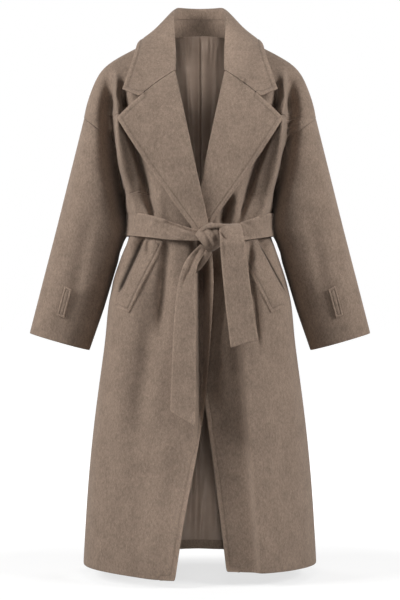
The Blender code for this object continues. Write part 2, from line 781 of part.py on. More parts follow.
def neck_seam(along):
    """The foot of the stand's inner face, which stands just inside the edge of the body."""
    side = -1 if along < 0 else 1
    share = abs(along) / SHOULDER_ALONG
    if share <= 1:
        angle = 180 - 90 * share
        facing = angle
        z = neck_height(angle)
    else:
        share = (abs(along) - SHOULDER_ALONG) / (1 - SHOULDER_ALONG)
        z = NECK_TOP + (GORGE_Z - NECK_TOP) * share
        angle = front_angle(side, edge_x(side, z), z)
        facing = 90
    inner = body_point(side * angle, z) - flat_normal(side * angle, z) * SHELL
    clear = STAND_CLEAR * smoothstep((abs(along) - SHOULDER_ALONG) / STAND_CLEAR_FADE + 1)
    return inner - at_angle(side * facing, LAPEL_CLOTH + clear, STAND_SINK)


def collar_frame(along):
    """Where the neck seam, the inside of the roll, the roll and the outer edge are."""
    value = {name: curve(along) for name, curve in COLLAR.items()}
    roll = Vector((value["roll_x"], value["roll_y"], value["roll_z"]))
    edge = Vector((value["edge_x"], value["edge_y"], value["edge_z"]))
    outward = edge - roll
    outward.z = 0
    outward.normalize()
    return neck_seam(along), roll - outward * COLLAR_ROLL, roll, roll + outward * COLLAR_SPRING, edge


def stand_top(along):
    """The seam of stand and fall, which runs down to the neck seam towards the fronts."""
    seam, inside, _, _, _ = collar_frame(along)
    taper = smoothstep((abs(along) - STAND_TAPER[0]) / (STAND_TAPER[1] - STAND_TAPER[0]))
    return seam.lerp(inside, STAND_SHARE * (1 - taper))


def arc(start, middle, end, share):
    return start.lerp(middle, share).lerp(middle.lerp(end, share), share)


def notch_share(side):
    """The lapel's share at the notch, along its top edge."""
    _, width = lapel_place(side, 0, 0.0)
    root_x = edge_x(side, GORGE_Z)
    across = width * (NOTCH_X - root_x) / (LAPEL_TIP[0] - root_x)
    return ROLL_SHARE + (1 - ROLL_SHARE) * (across - ROLL_RADIUS) / (width - ROLL_RADIUS)


def gorge_row(side, share):
    """The collar's front end: along the top of the lapel to the notch, then to the point."""
    up = Vector((side * GORGE_GAP_X, 0, GORGE_GAP_Z))
    if share <= COLLAR_ROLL_SHARE:
        return lapel_face(side, 0, share / COLLAR_ROLL_SHARE * ROLL_SHARE) + up
    notch = notch_share(side)
    if share <= NOTCH_SHARE:
        part = (share - COLLAR_ROLL_SHARE) / (NOTCH_SHARE - COLLAR_ROLL_SHARE)
        return lapel_face(side, 0, ROLL_SHARE + (notch - ROLL_SHARE) * part) + up
    angle = front_angle(side, *COLLAR_POINT)
    point = on_front(side, angle, COLLAR_POINT[1])
    point = point + flat_normal(side * angle, COLLAR_POINT[1]) * LAPEL_TIP_LIFT
    part = (share - NOTCH_SHARE) / (1 - NOTCH_SHARE)
    return (lapel_face(side, 0, notch) + up).lerp(point, part)


def fall_face(share, along):
    """The collar's fall: up inside the neck, over the roll and down to its outer edge."""
    _, inside, roll, spring, edge = collar_frame(along)
    if share < COLLAR_ROLL_SHARE:
        part = share / COLLAR_ROLL_SHARE
        point = arc(stand_top(along), inside, roll, part)
    else:
        part = (share - COLLAR_ROLL_SHARE) / (1 - COLLAR_ROLL_SHARE)
        point = arc(roll, spring, edge, part)
    blend = smoothstep((abs(along) - GORGE_BLEND) / (1 - GORGE_BLEND))
    if blend <= 0:
        return point
    return point.lerp(gorge_row(-1 if along < 0 else 1, share), blend)


def gorge_normal(share, along):
    """Square to the fall, and at its two ends square to the lapel that it is sewn to."""
    if abs(along) < 1:
        return square_to(fall_face, share, along, SHARE_STEP, COLLAR_STEP, True)
    side = -1 if along < 0 else 1
    if share > NOTCH_SHARE:
        return flat_normal(side * front_angle(side, *COLLAR_POINT), COLLAR_POINT[1])
    if share <= COLLAR_ROLL_SHARE:
        lapel_share = share / COLLAR_ROLL_SHARE * ROLL_SHARE
    else:
        part = (share - COLLAR_ROLL_SHARE) / (NOTCH_SHARE - COLLAR_ROLL_SHARE)
        lapel_share = ROLL_SHARE + (notch_share(side) - ROLL_SHARE) * part
    return lapel_normal(side, lapel_share, 0)


def make_fall(name, wool):
    shares = [
        *spread(0, COLLAR_ROLL_SHARE, ROLL_STEPS),
        *spread(COLLAR_ROLL_SHARE, NOTCH_SHARE, GORGE_STEPS)[1:],
        *spread(NOTCH_SHARE, 1, 2)[1:],
    ]
    stations = [-x for x in reversed(COLLAR_STEPS)] + [0.0, *COLLAR_STEPS]
    return cloth(
        name, fall_face, shares, stations, LAPEL_CLOTH, wool, flip=True, normal=gorge_normal
    )


def stand_face(share, along):
    seam, inside, _, _, _ = collar_frame(along)
    rise = (inside - seam).normalized() * STAND_GAP
    return seam.lerp(stand_top(along) - rise, share)


def make_stand(name, wool):
    halves = [x for x in COLLAR_STEPS if x <= STAND_END]
    stations = [-x for x in reversed(halves)] + [0.0, *halves]
    return cloth(name, stand_face, spread(0, 1, 2), stations, LAPEL_CLOTH, wool, flip=True)


# Pocket welts


def on_facets(side, angle, z, lift):
    """A point that lies on the flat facets of a front, moved out by lift."""
    face = front_face(side)
    inner = front_angle(side, panel_edge(side, z), z)
    outer = arm_angle(z, ARMHOLE_CUT_FRONT) - seam_angle(z)
    share = (angle - inner) / (outer - inner)
    levels = body_levels()
    row = bisect_right(levels, z) - 1
    column = bisect_right(FRONT_COLUMNS, share) - 1
    up = (z - levels[row]) / (levels[row + 1] - levels[row])
    left, right = FRONT_COLUMNS[column : column + 2]
    over = (share - left) / (right - left)

    def corner(step, column_share):
        return face(column_share if side > 0 else 1 - column_share, levels[row + step])

    low = corner(0, left).lerp(corner(0, right), over)
    high = corner(1, left).lerp(corner(1, right), over)
    return low.lerp(high, up) + flat_normal(side * angle, z) * lift


def make_welt(name, side, wool):
    def face(across, down):
        angle_top = WELT_TOP_INNER.angle + (WELT_TOP_OUTER.angle - WELT_TOP_INNER.angle) * across
        angle_low = WELT_LOW_INNER.angle + (WELT_LOW_OUTER.angle - WELT_LOW_INNER.angle) * across
        z_top = WELT_TOP_INNER.z + (WELT_TOP_OUTER.z - WELT_TOP_INNER.z) * across
        z_low = WELT_LOW_INNER.z + (WELT_LOW_OUTER.z - WELT_LOW_INNER.z) * across
        angle = angle_top + (angle_low - angle_top) * down
        z = z_top + (z_low - z_top) * down
        return on_facets(side, angle, z, WELT_LIFT + DOUBLED)

    across_steps, down_steps = WELT_STEPS
    columns = spread(0, 1, across_steps)
    rows = spread(0, 1, down_steps)
    return cloth(name, face, columns, rows, DOUBLED, wool, flip=side > 0)


# Belt


def front_turn(angle):
    """Degrees away from the knot, whichever way round the body is shorter."""
    return abs((angle - KNOT_DEG + 180) % 360 - 180)


def belt_face(angle, across):
    away = front_turn(angle)
    middle = BELT_Z - BELT_SAG * math.exp(-((away / BELT_SAG_DEG) ** 2))
    half = BELT_HALF - BELT_GATHER * math.exp(-((away / BELT_GATHER_DEG) ** 2))
    z = middle + half * across
    lift = BELT_LIFT + BELT_FRONT_LIFT / (1 + (away / BELT_FRONT_DEG) ** 4)
    bow = BELT_BOW * (1 - across * across)
    return at_angle(angle, body_radius(angle, z, folded=False) + lift + BELT_CLOTH + bow, z)


def make_belt(name, wool):
    angles = spread(BELT_START_DEG, BELT_END_DEG, BELT_STEPS[0])
    return cloth(name, belt_face, angles, spread(-1, 1, BELT_STEPS[1]), BELT_CLOTH, wool)


def knot_face(turn, across):
    """Round the wrap of the knot, which is drawn in at its two edges."""
    swell = 1 - KNOT_ROUNDING * (2 * across) ** 2
    wrap = KNOT_WRAP * (KNOT_TALL * swell * math.sin(math.radians(turn)))
    deep = Vector((0, -KNOT_DEEP * swell * math.cos(math.radians(turn)), 0))
    return KNOT_CENTRE + wrap + deep + KNOT_AXIS * (KNOT_WIDTH * across)


def make_knot(name, wool):
    round_steps, across_steps = KNOT_STEPS
    turns = [i * 360 / round_steps for i in range(round_steps)]
    shares = spread(-0.5, 0.5, across_steps)
    return cloth(name, knot_face, turns, shares, KNOT_CLOTH, wool, closed=True, flip=True)


def make_tail(name, rows, wool):
    """A free end of the belt, hanging from the knot."""
    count = len(rows)
    lines = {
        field: Curve(list(range(count)), [getattr(row, field) for row in rows])
        for field in TailRow._fields
    }

    def middle(down):
        return Vector((lines["x"](down), lines["y"](down), lines["z"](down)))

    def face(across, down):
        lean = lines["slant"](down) * across
        bow = -TAIL_BOW * (1 - across * across)
        return middle(down) + Vector((lines["half"](down) * across, bow, lean))

    across_steps, row_steps = TAIL_STEPS
    downs = spread(0, count - 1, row_steps * (count - 1))
    return cloth(name, face, spread(-1, 1, across_steps), downs, BELT_CLOTH, wool, flip=True)


# Lining and hem of the back


def lining_depth(angle, z):
    depth = 0.0
    for fold in LINING_FOLDS:
        starts = smoothstep((fold.z_top - z) / LINING_FADE_IN)
        ends = smoothstep((z - fold.z_end) / LINING_FADE_OUT)
        away = angle - fold.angle
        depth += fold.depth * starts * ends * math.exp(-((away / fold.width) ** 2))
    return depth


def lining_face(share, z):
    angle = back_angle(share, z)
    rise = (neck_height(angle) - NECK_TOP) * smoothstep((z - LINING_RISE_Z) / LINING_RISE)
    inside = SHELL + LINING_GAP + LINING_CLOTH + lining_depth(angle, z)
    return body_point(angle, z + rise) - body_normal(angle, z + rise) * inside


def make_lining(name, satin):
    levels = [LINING_END_Z, *LINING_LEVELS, LINING_TOP_Z]
    return cloth(name, lining_face, BACK_COLUMNS, levels, LINING_CLOTH, satin, flip=True)


def make_hem(name, wool):
    def face(share, z):
        angle = back_angle(share, z)
        return body_point(angle, z) - body_normal(angle, z) * (SHELL + HEM_GAP + HEM_CLOTH)

    levels = [HEM_Z + HEM_LIFT, HEM_Z + HEM_TURN / 2, HEM_Z + HEM_TURN]
    return cloth(name, face, BACK_COLUMNS, levels, HEM_CLOTH, wool, flip=True)


def build():
    clear_scene()
    wool = material("wool", *WOOL)
    satin = material("lining_satin", *LINING_COLOUR)
    make_back("back", wool)
    make_lining("lining_back", satin)
    make_hem("hem_back", wool)
    make_stand("collar_stand", wool)
    make_fall("collar_fall", wool)
    make_belt("belt_waist", wool)
    make_knot("belt_knot", wool)
    make_tail("belt_tail_left", TAIL_LEFT, wool)
    make_tail("belt_tail_right", TAIL_RIGHT, wool)
    for side, hand in ((1, "left"), (-1, "right")):
        make_front("front_" + hand, side, wool)
        make_lapel("lapel_" + hand, side, wool)
        make_welt("pocket_welt_" + hand, side, wool)
        make_sleeve("sleeve_" + hand, side, wool)
        make_tab("sleeve_tab_" + hand, side, wool)


build()
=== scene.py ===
"""The looks of a long belted wool coat, filled out as when it is worn, on a white studio floor.

Metres, +Z up. +X is the wearer's left, and the front of the coat faces -Y.
"""

import math
from collections import namedtuple
from functools import partial

import bpy
import numpy as np
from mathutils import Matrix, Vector
from mathutils.kdtree import KDTree


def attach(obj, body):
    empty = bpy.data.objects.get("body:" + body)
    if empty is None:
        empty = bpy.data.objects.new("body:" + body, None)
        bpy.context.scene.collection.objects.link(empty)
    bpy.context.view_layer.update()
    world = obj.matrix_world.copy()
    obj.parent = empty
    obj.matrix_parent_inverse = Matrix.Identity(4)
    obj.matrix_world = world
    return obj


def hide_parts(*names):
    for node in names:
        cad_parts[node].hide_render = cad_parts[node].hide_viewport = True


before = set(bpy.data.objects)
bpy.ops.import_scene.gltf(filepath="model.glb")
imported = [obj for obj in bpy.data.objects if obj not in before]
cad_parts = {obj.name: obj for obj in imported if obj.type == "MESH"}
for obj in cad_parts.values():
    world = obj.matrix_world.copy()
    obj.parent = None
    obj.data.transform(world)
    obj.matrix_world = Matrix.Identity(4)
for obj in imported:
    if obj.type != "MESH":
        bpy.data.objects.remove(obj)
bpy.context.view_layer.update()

# The back: one wide panel of brushed melton wool from the nape to the hem, cut with a curved
# armhole on each side and sewn to the fronts and the sleeves. It hangs in long soft folds.

WOOL_LIGHT = (0.352, 0.262, 0.202)
WOOL_DARK = (0.150, 0.110, 0.084)
WOOL_ROUGHNESS = 0.94
WOOL_SPECULAR = 0.12
WOOL_SHEEN = 0.22
WOOL_SHEEN_ROUGHNESS = 0.45
WOOL_SHEEN_TINT = (0.86, 0.76, 0.68)
NAP_DEPTH = 0.0008
NAP_STRENGTH = 0.55
GRAIN_ROUGHNESS = 0.6
TONE_LOW = 0.50
TONE_HIGH = 0.95
FROM_EDGE = "from_edge"
FAR_FROM_EDGE = 1.0
STITCH_INSET = 0.0085
# a row of stitches draws a groove in the cloth, with painted shade in it
GROOVE_WIDTH = 0.0015
GROOVE_PAINTED_SHADE = 0.17
GROOVE_BUMP = 1.2
# painted shade in a pocket's open edge: its mark in the edge attribute, its width and how dark
PAINTED_MOUTH_MARK = -0.05
PAINTED_MOUTH_WIDTH = 0.005
PAINTED_MOUTH_SHADE = 0.88
# a painted highlight along the cloth's edge, and how that rounded edge is found and creased
RIM_WIDTH = 0.0028
RIM_PAINTED_HIGHLIGHT = 0.18
RIM_CREASE = 0.47
RIM_DEG = 50
WALL_MAX = 0.0065
MERGE = 1e-5
LEVELS = 2
FINE_LEVELS = 3

# One layer of a cloth's surface: the scale and detail of its noise, how the noise is drawn out along
# the three axes, and its weights in the tone of the colour and in the height of the surface.
Grain = namedtuple("Grain", "scale detail stretch tone height")
EVEN = (1, 1, 1)
WOOL_GRAINS = (
    # broad clouds, tufts, fibres along the nap, and fuzz
    Grain(26, 2, EVEN, 0.25, 0.0),
    Grain(210, 3, (1, 1, 0.6), 0.40, 0.35),
    Grain(720, 4, (1, 1, 0.35), 0.60, 0.45),
    Grain(1500, 3, EVEN, 0.20, 0.35),
)

# A soft trough (depth over 0) or ridge along a bowed line in the front view: x and z of its two
# ends, its bow, its depth, how wide it is on the side of lower x and of higher x, how much of its
# length it takes to fade in at its two ends, and its power: 2 for a rounded one, more for a flat
# bottom with steep sides.
Crease = namedtuple("Crease", "x0 z0 x1 z1 bow depth low high fade power", defaults=(2,))

BACK_CREASES = (
    Crease(0.120, -0.240, 0.075, -0.365, 0.006, 0.010, 0.014, 0.010, 0.35),
    Crease(-0.115, -0.225, -0.080, -0.365, -0.005, 0.010, 0.010, 0.014, 0.35),
    Crease(0.030, -0.270, 0.020, -0.365, 0.003, 0.007, 0.010, 0.009, 0.40),
    Crease(-0.035, -0.285, -0.026, -0.365, 0.002, 0.006, 0.009, 0.010, 0.40),
    Crease(0.150, -0.200, 0.130, -0.340, 0.006, -0.006, 0.012, 0.012, 0.35),
    Crease(-0.148, -0.210, -0.128, -0.340, -0.006, -0.006, 0.012, 0.012, 0.35),
    Crease(0.095, -0.400, 0.125, -0.640, 0.006, 0.010, 0.014, 0.018, 0.30),
    Crease(-0.060, -0.400, -0.078, -0.700, 0.004, 0.012, 0.017, 0.015, 0.30),
    Crease(0.022, -0.400, 0.030, -0.560, 0.002, 0.007, 0.012, 0.013, 0.35),
    Crease(-0.130, -0.400, -0.160, -0.620, -0.005, 0.009, 0.016, 0.014, 0.30),
    Crease(0.060, -0.560, 0.075, -1.150, 0.008, -0.010, 0.030, 0.024, 0.30),
    Crease(-0.020, -0.620, -0.030, -1.150, 0.004, -0.008, 0.026, 0.030, 0.30),
    Crease(-0.125, -0.600, -0.150, -1.150, -0.006, -0.008, 0.026, 0.022, 0.30),
)
FACE_DEPTH = 0.04
BLOUSE_Z = -0.352
BLOUSE_REACH = 0.026
BLOUSE_OUT = 0.007
BLOUSE_FROM_X = 0.09
BLOUSE_TO_X = 0.13
HIP_Z = -0.535
HIP_REACH = 0.065
HIP_OUT = 0.006


def smoothstep(x):
    x = np.clip(x, 0.0, 1.0)
    return x * x * (3 - 2 * x)


def rim_edges(mesh):
    """The sharp edges that run along the cut edge of the cloth, where the wall's narrow faces are."""
    number = {edge.key: edge.index for edge in mesh.edges}
    beside = [[] for edge in mesh.edges]
    for face in mesh.polygons:
        sides = [(mesh.vertices[a].co - mesh.vertices[b].co).length for a, b in face.edge_keys]
        for key in face.edge_keys:
            beside[number[key]].append((face.normal, min(sides)))
    found = []
    for index, faces in enumerate(beside):
        if len(faces) == 2 and min(faces[0][1], faces[1][1]) < WALL_MAX:
            if faces[0][0].angle(faces[1][0], 0.0) > math.radians(RIM_DEG):
                found.append(index)
    return found


def start_from(node, name, levels, crease=RIM_CREASE):
    """A new piece with the form of a CAD solid: its copy merged, in quads and made smooth."""
    bpy.ops.object.select_all(action="DESELECT")
    piece = bpy.data.objects.new(name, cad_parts[node].data.copy())
    piece.data.name = name
    bpy.context.scene.collection.objects.link(piece)
    bpy.context.view_layer.objects.active = piece
    piece.select_set(True)
    piece.data.materials.clear()
    bpy.ops.object.mode_set(mode="EDIT")
    bpy.ops.mesh.select_all(action="SELECT")
    bpy.ops.mesh.customdata_custom_splitnormals_clear()
    bpy.ops.mesh.remove_doubles(threshold=MERGE)
    bpy.ops.mesh.tris_convert_to_quads(
        face_threshold=math.radians(RIM_DEG), shape_threshold=math.radians(RIM_DEG)
    )
    bpy.ops.object.mode_set(mode="OBJECT")
    edges = rim_edges(piece.data)
    values = np.zeros(len(piece.data.edges), np.float32)
    values[edges] = crease
    piece.data.edge_creases_ensure()
    piece.data.attributes["crease_edge"].data.foreach_set("value", values)
    rim = piece.vertex_groups.new(name="rim")
    for index in edges:
        rim.add(list(piece.data.edges[index].vertices), 1.0, "REPLACE")
    smooth = piece.modifiers.new("smooth", "SUBSURF")
    smooth.levels = levels
    smooth.render_levels = levels
    bpy.ops.object.modifier_apply(modifier=smooth.name)
    bpy.ops.object.shade_smooth()
    set_edge(piece, np.full(len(piece.data.vertices), FAR_FROM_EDGE))
    return piece


def points_of(piece):
    flat = np.empty(len(piece.data.vertices) * 3, np.float32)
    piece.data.vertices.foreach_get("co", flat)
    return flat.reshape(-1, 3).astype(float)


def set_points(piece, points):
    piece.data.vertices.foreach_set("co", points.astype(np.float32).ravel())
    piece.data.update()


def set_edge(piece, away):
    """Keep on each point how far it is from the stitched edge, for the material's painted shade in
    the groove and painted highlight at the edge. Values near the mouth mark stand for painted shade
    in the open edge of a pocket."""
    if FROM_EDGE not in piece.data.attributes:
        piece.data.attributes.new(FROM_EDGE, "FLOAT", "POINT")
    piece.data.attributes[FROM_EDGE].data.foreach_set("value", away.astype(np.float32))


def crease_depth(x, z, creases):
    """How deep the creases are at places of the front view."""
    depth = np.zeros(len(x))
    for crease in creases:
        run = np.array((crease.x1 - crease.x0, crease.z1 - crease.z0))
        length = np.hypot(*run)
        run = run / length
        along = ((x - crease.x0) * run[0] + (z - crease.z0) * run[1]) / length
        off = (x - crease.x0) * -run[1] + (z - crease.z0) * run[0]
        off = off - crease.bow * 4 * along * (1 - along)
        width = np.where(off < 0, crease.low, crease.high)
        fade = smoothstep(along / crease.fade) * smoothstep((1 - along) / crease.fade)
        depth += crease.depth * fade * np.exp(-(np.abs(off / width) ** crease.power))
    return depth


def press(piece, creases, side):
    """Move points in along the depth by creases of the front (side -1) or of the back (side 1)."""
    points = points_of(piece)
    weight = smoothstep(points[:, 1] * side / FACE_DEPTH)
    depth = crease_depth(points[:, 0], points[:, 2], creases)
    points[:, 1] -= side * depth * weight
    set_points(piece, points)


def blouse(piece):
    """Let the cloth stand out at the sides just above the belt and over the hips."""
    points = points_of(piece)
    swell = BLOUSE_OUT * np.exp(-(((points[:, 2] - BLOUSE_Z) / BLOUSE_REACH) ** 2))
    swell = swell + HIP_OUT * np.exp(-(((points[:, 2] - HIP_Z) / HIP_REACH) ** 2))
    swell *= smoothstep((np.abs(points[:, 0]) - BLOUSE_FROM_X) / (BLOUSE_TO_X - BLOUSE_FROM_X))
    points[:, 0] += np.sign(points[:, 0]) * swell
    set_points(piece, points)


def node_of(tree, kind, **values):
    """A shader node with its plain sockets and settings filled in."""
    made = tree.nodes.new(kind)
    for name, value in values.items():
        if name in made.inputs:
            made.inputs[name].default_value = value
        else:
            setattr(made, name, value)
    return made


def noise_of(tree, place, grain):
    """Noise on the piece's own place, drawn out along an axis by a low stretch."""
    drawn = node_of(tree, "ShaderNodeMapping")
    drawn.inputs["Scale"].default_value = grain.stretch
    noise = node_of(
        tree, "ShaderNodeTexNoise", Scale=grain.scale, Detail=grain.detail, Roughness=GRAIN_ROUGHNESS
    )
    tree.links.new(place, drawn.inputs["Vector"])
    tree.links.new(drawn.outputs["Vector"], noise.inputs["Vector"])
    return noise.outputs["Fac"]


def sum_of(tree, parts):
    """A weighted sum of values, as a chain of maths nodes."""
    total = None
    for value, weight in parts:
        term = node_of(tree, "ShaderNodeMath", operation="MULTIPLY")
        term.inputs[1].default_value = weight
        tree.links.new(value, term.inputs[0])
        if total is None:
            total = term.outputs[0]
            continue
        added = node_of(tree, "ShaderNodeMath", operation="ADD")
        tree.links.new(total, added.inputs[0])
        tree.links.new(term.outputs[0], added.inputs[1])
        total = added.outputs[0]
    return total


def tone_and_heights(tree, place, grains):
    """The tone of a cloth's surface, and the weighted parts of its height, from layers of noise."""
    noises = [noise_of(tree, place, grain) for grain in grains]
    tone = sum_of(tree, [(noise, grain.tone) for noise, grain in zip(noises, grains)])
    heights = [(noise, grain.height) for noise, grain in zip(noises, grains) if grain.height]
    return tone, heights


def bell_of(tree, value, middle, width):
    """1 where a value is at middle, falling off to 0 over width on both sides."""
    off = node_of(tree, "ShaderNodeMath", operation="SUBTRACT")
    off.inputs[1].default_value = middle
    share = node_of(tree, "ShaderNodeMath", operation="DIVIDE")
    share.inputs[1].default_value = width
    square = node_of(tree, "ShaderNodeMath", operation="MULTIPLY")
    turned = node_of(tree, "ShaderNodeMath", operation="MULTIPLY")
    turned.inputs[1].default_value = -1.0
    bell = node_of(tree, "ShaderNodeMath", operation="EXPONENT")
    tree.links.new(value, off.inputs[0])
    tree.links.new(off.outputs[0], share.inputs[0])
    tree.links.new(share.outputs[0], square.inputs[0])
    tree.links.new(share.outputs[0], square.inputs[1])
    tree.links.new(square.outputs[0], turned.inputs[0])
    tree.links.new(turned.outputs[0], bell.inputs[0])
    return bell.outputs[0]


def nap_group():
    """Brushed wool: mottled fibres in two tones with the nap running down the cloth, drawn in along a
    row of stitches with painted shade in the groove, a painted highlight along the edge and painted
    shade in a pocket's open edge."""
    group = bpy.data.node_groups.new("wool_nap_and_painted_light", "ShaderNodeTree")
    group.interface.new_socket("Light", in_out="INPUT", socket_type="NodeSocketColor")
    group.interface.new_socket("Dark", in_out="INPUT", socket_type="NodeSocketColor")
    group.interface.new_socket("Edge", in_out="INPUT", socket_type="NodeSocketFloat")
    group.interface.new_socket("Color", in_out="OUTPUT", socket_type="NodeSocketColor")
    group.interface.new_socket("Height", in_out="OUTPUT", socket_type="NodeSocketFloat")
    given = group.nodes.new("NodeGroupInput")
    result = group.nodes.new("NodeGroupOutput")
    place = group.nodes.new("ShaderNodeTexCoord").outputs["Object"]
    tone, heights = tone_and_heights(group, place, WOOL_GRAINS)
    level = node_of(group, "ShaderNodeMapRange")
    level.inputs["From Min"].default_value = TONE_LOW
    level.inputs["From Max"].default_value = TONE_HIGH
    mix = node_of(group, "ShaderNodeMix", data_type="RGBA")
    # painted shade in the stitched groove and in a pocket's open edge, and a painted highlight along
    # the edge
    groove = bell_of(group, given.outputs["Edge"], STITCH_INSET, GROOVE_WIDTH)
    rim = bell_of(group, given.outputs["Edge"], 0.0, RIM_WIDTH)
    painted_mouth = bell_of(group, given.outputs["Edge"], PAINTED_MOUTH_MARK, PAINTED_MOUTH_WIDTH)
    shade = sum_of(group, [(groove, -GROOVE_PAINTED_SHADE), (rim, RIM_PAINTED_HIGHLIGHT), (painted_mouth, -PAINTED_MOUTH_SHADE)])
    factor = node_of(group, "ShaderNodeMath", operation="ADD")
    factor.inputs[1].default_value = 1.0
    shaded = node_of(group, "ShaderNodeVectorMath", operation="SCALE")
    height = sum_of(group, heights + [(groove, -GROOVE_BUMP)])
    group.links.new(tone, level.inputs["Value"])
    group.links.new(level.outputs["Result"], mix.inputs["Factor"])
    group.links.new(given.outputs["Dark"], mix.inputs["A"])
    group.links.new(given.outputs["Light"], mix.inputs["B"])
    group.links.new(shade, factor.inputs[0])
    group.links.new(mix.outputs["Result"], shaded.inputs[0])
    group.links.new(factor.outputs[0], shaded.inputs["Scale"])
    group.links.new(shaded.outputs["Vector"], result.inputs["Color"])
    group.links.new(height, result.inputs["Height"])
    return group


nap = nap_group()


def wool_material(name, light, dark):
    made = bpy.data.materials.new(name)
    made.use_nodes = True
    tree = made.node_tree
    shader = tree.nodes["Principled BSDF"]
    shader.inputs["Roughness"].default_value = WOOL_ROUGHNESS
    shader.inputs["Sheen Weight"].default_value = WOOL_SHEEN
    shader.inputs["Sheen Roughness"].default_value = WOOL_SHEEN_ROUGHNESS
    shader.inputs["Sheen Tint"].default_value = (*WOOL_SHEEN_TINT, 1)
    shader.inputs["Specular IOR Level"].default_value = WOOL_SPECULAR
    cloth = tree.nodes.new("ShaderNodeGroup")
    cloth.node_tree = nap
    cloth.inputs["Light"].default_value = (*light, 1)
    cloth.inputs["Dark"].default_value = (*dark, 1)
    edge = node_of(tree, "ShaderNodeAttribute", attribute_name=FROM_EDGE)
    tree.links.new(edge.outputs["Fac"], cloth.inputs["Edge"])
    bump = node_of(tree, "ShaderNodeBump", Strength=NAP_STRENGTH, Distance=NAP_DEPTH)
    tree.links.new(cloth.outputs["Color"], shader.inputs["Base Color"])
    tree.links.new(cloth.outputs["Height"], bump.inputs["Height"])
    tree.links.new(bump.outputs["Normal"], shader.inputs["Normal"])
    return made


wool = wool_material("melton_wool", WOOL_LIGHT, WOOL_DARK)


def hand_in(piece, node, cloth):
    """Dress a finished piece, hang it from the root and hide the CAD part it was cut from."""
    piece.data.materials.append(cloth)
    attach(piece, "root")
    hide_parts(node)


back = start_from("back", "wool_back", LEVELS)
press(back, BACK_CREASES, 1)
blouse(back)
hand_in(back, "back", wool)

# The lining of the back: thin satin, a little loose, with a pleat down its middle. It is sewn in
# under the collar stand, where it gathers, follows the back's folds and ends above the back's hem.

SATIN_LIGHT = (0.460, 0.347, 0.274)
SATIN_DARK = (0.280, 0.210, 0.164)
SATIN_ROUGHNESS = 0.50
SATIN_SPECULAR = 0.25
SATIN_WEAVE = 0.0003
SATIN_STRENGTH = 0.25
SATIN_GRAINS = (
    # broad clouds, and threads that run down the cloth
    Grain(40, 3, EVEN, 0.55, 0.0),
    Grain(1800, 2, (1, 1, 0.08), 0.45, 1.0),
)
LINING_TOP_Z = -0.03
LINING_TOP_REACH = 0.04
LINING_TOP_OUT = 0.006
LINING_TOP_UP = 0.008
LINING_CREASES = (
    # gathers under the collar stand
    Crease(-0.043, 0.020, -0.040, -0.055, 0.000, 0.0060, 0.0035, 0.0030, 0.40),
    Crease(-0.033, 0.020, -0.030, -0.040, 0.000, 0.0050, 0.0030, 0.0030, 0.40),
    Crease(-0.022, 0.020, -0.021, -0.030, 0.000, 0.0035, 0.0030, 0.0030, 0.40),
    Crease(0.017, 0.020, 0.017, -0.028, 0.000, 0.0035, 0.0030, 0.0030, 0.40),
    Crease(0.027, 0.020, 0.025, -0.042, 0.000, 0.0052, 0.0030, 0.0035, 0.40),
    Crease(0.036, 0.020, 0.034, -0.050, 0.000, 0.0056, 0.0035, 0.0030, 0.40),
    # the cloth stands out in the middle and lies back on both sides of it
    Crease(0.010, 0.030, 0.006, -0.360, 0.000, 0.0260, 0.0180, 0.0150, 0.12),
    Crease(0.036, -0.010, 0.018, -0.300, 0.003, 0.0080, 0.0050, 0.0060, 0.30),
    Crease(-0.030, -0.010, -0.012, -0.300, -0.002, 0.0080, 0.0060, 0.0050, 0.30),
    # the pleat, open to one side
    Crease(0.003, 0.020, 0.003, -0.340, 0.000, 0.0050, 0.0012, 0.0080, 0.08),
    Crease(-0.001, 0.020, -0.001, -0.340, 0.000, -0.0050, 0.0030, 0.0016, 0.08),
    # folds that show between the fronts above the hem
    Crease(0.026, -0.860, 0.034, -1.064, 0.004, 0.0080, 0.0070, 0.0090, 0.30),
    Crease(0.010, -0.900, -0.002, -1.060, 0.002, 0.0060, 0.0060, 0.0060, 0.30),
    Crease(-0.016, -0.880, -0.022, -1.064, 0.000, 0.0070, 0.0070, 0.0070, 0.30),
)


def satin_material():
    made = bpy.data.materials.new("lining_satin")
    made.use_nodes = True
    tree = made.node_tree
    shader = tree.nodes["Principled BSDF"]
    shader.inputs["Roughness"].default_value = SATIN_ROUGHNESS
    shader.inputs["Specular IOR Level"].default_value = SATIN_SPECULAR
    place = tree.nodes.new("ShaderNodeTexCoord").outputs["Object"]
    tone, heights = tone_and_heights(tree, place, SATIN_GRAINS)
    mix = node_of(tree, "ShaderNodeMix", data_type="RGBA")
    mix.inputs["A"].default_value = (*SATIN_DARK, 1)
    mix.inputs["B"].default_value = (*SATIN_LIGHT, 1)
    bump = node_of(tree, "ShaderNodeBump", Strength=SATIN_STRENGTH, Distance=SATIN_WEAVE)
    tree.links.new(tone, mix.inputs["Factor"])
    tree.links.new(sum_of(tree, heights), bump.inputs["Height"])
    tree.links.new(mix.outputs["Result"], shader.inputs["Base Color"])
    tree.links.new(bump.outputs["Normal"], shader.inputs["Normal"])
    return made


satin = satin_material()
lining = start_from("lining_back", "satin_lining", FINE_LEVELS)
press(lining, BACK_CREASES + LINING_CREASES, 1)
places = points_of(lining)
near_top = smoothstep((places[:, 2] - LINING_TOP_Z) / LINING_TOP_REACH)
places[:, 1] -= LINING_TOP_OUT * near_top
places[:, 2] += LINING_TOP_UP * near_top
set_points(lining, places)
hand_in(lining, "lining_back", satin)

# The hem of the back: the same wool turned up inside by the width of two fingers and felled down.
# It follows the back's folds, and shows below the lining between the two fronts.

hem = start_from("hem_back", "wool_hem", LEVELS)
press(hem, BACK_CREASES, 1)
hand_in(hem, "hem_back", wool)

# The two fronts: each one panel from the shoulder to the hem. The wearer's right front laps over
# the left one. Their front edges are topstitched, and drape folds hang from the shoulders.

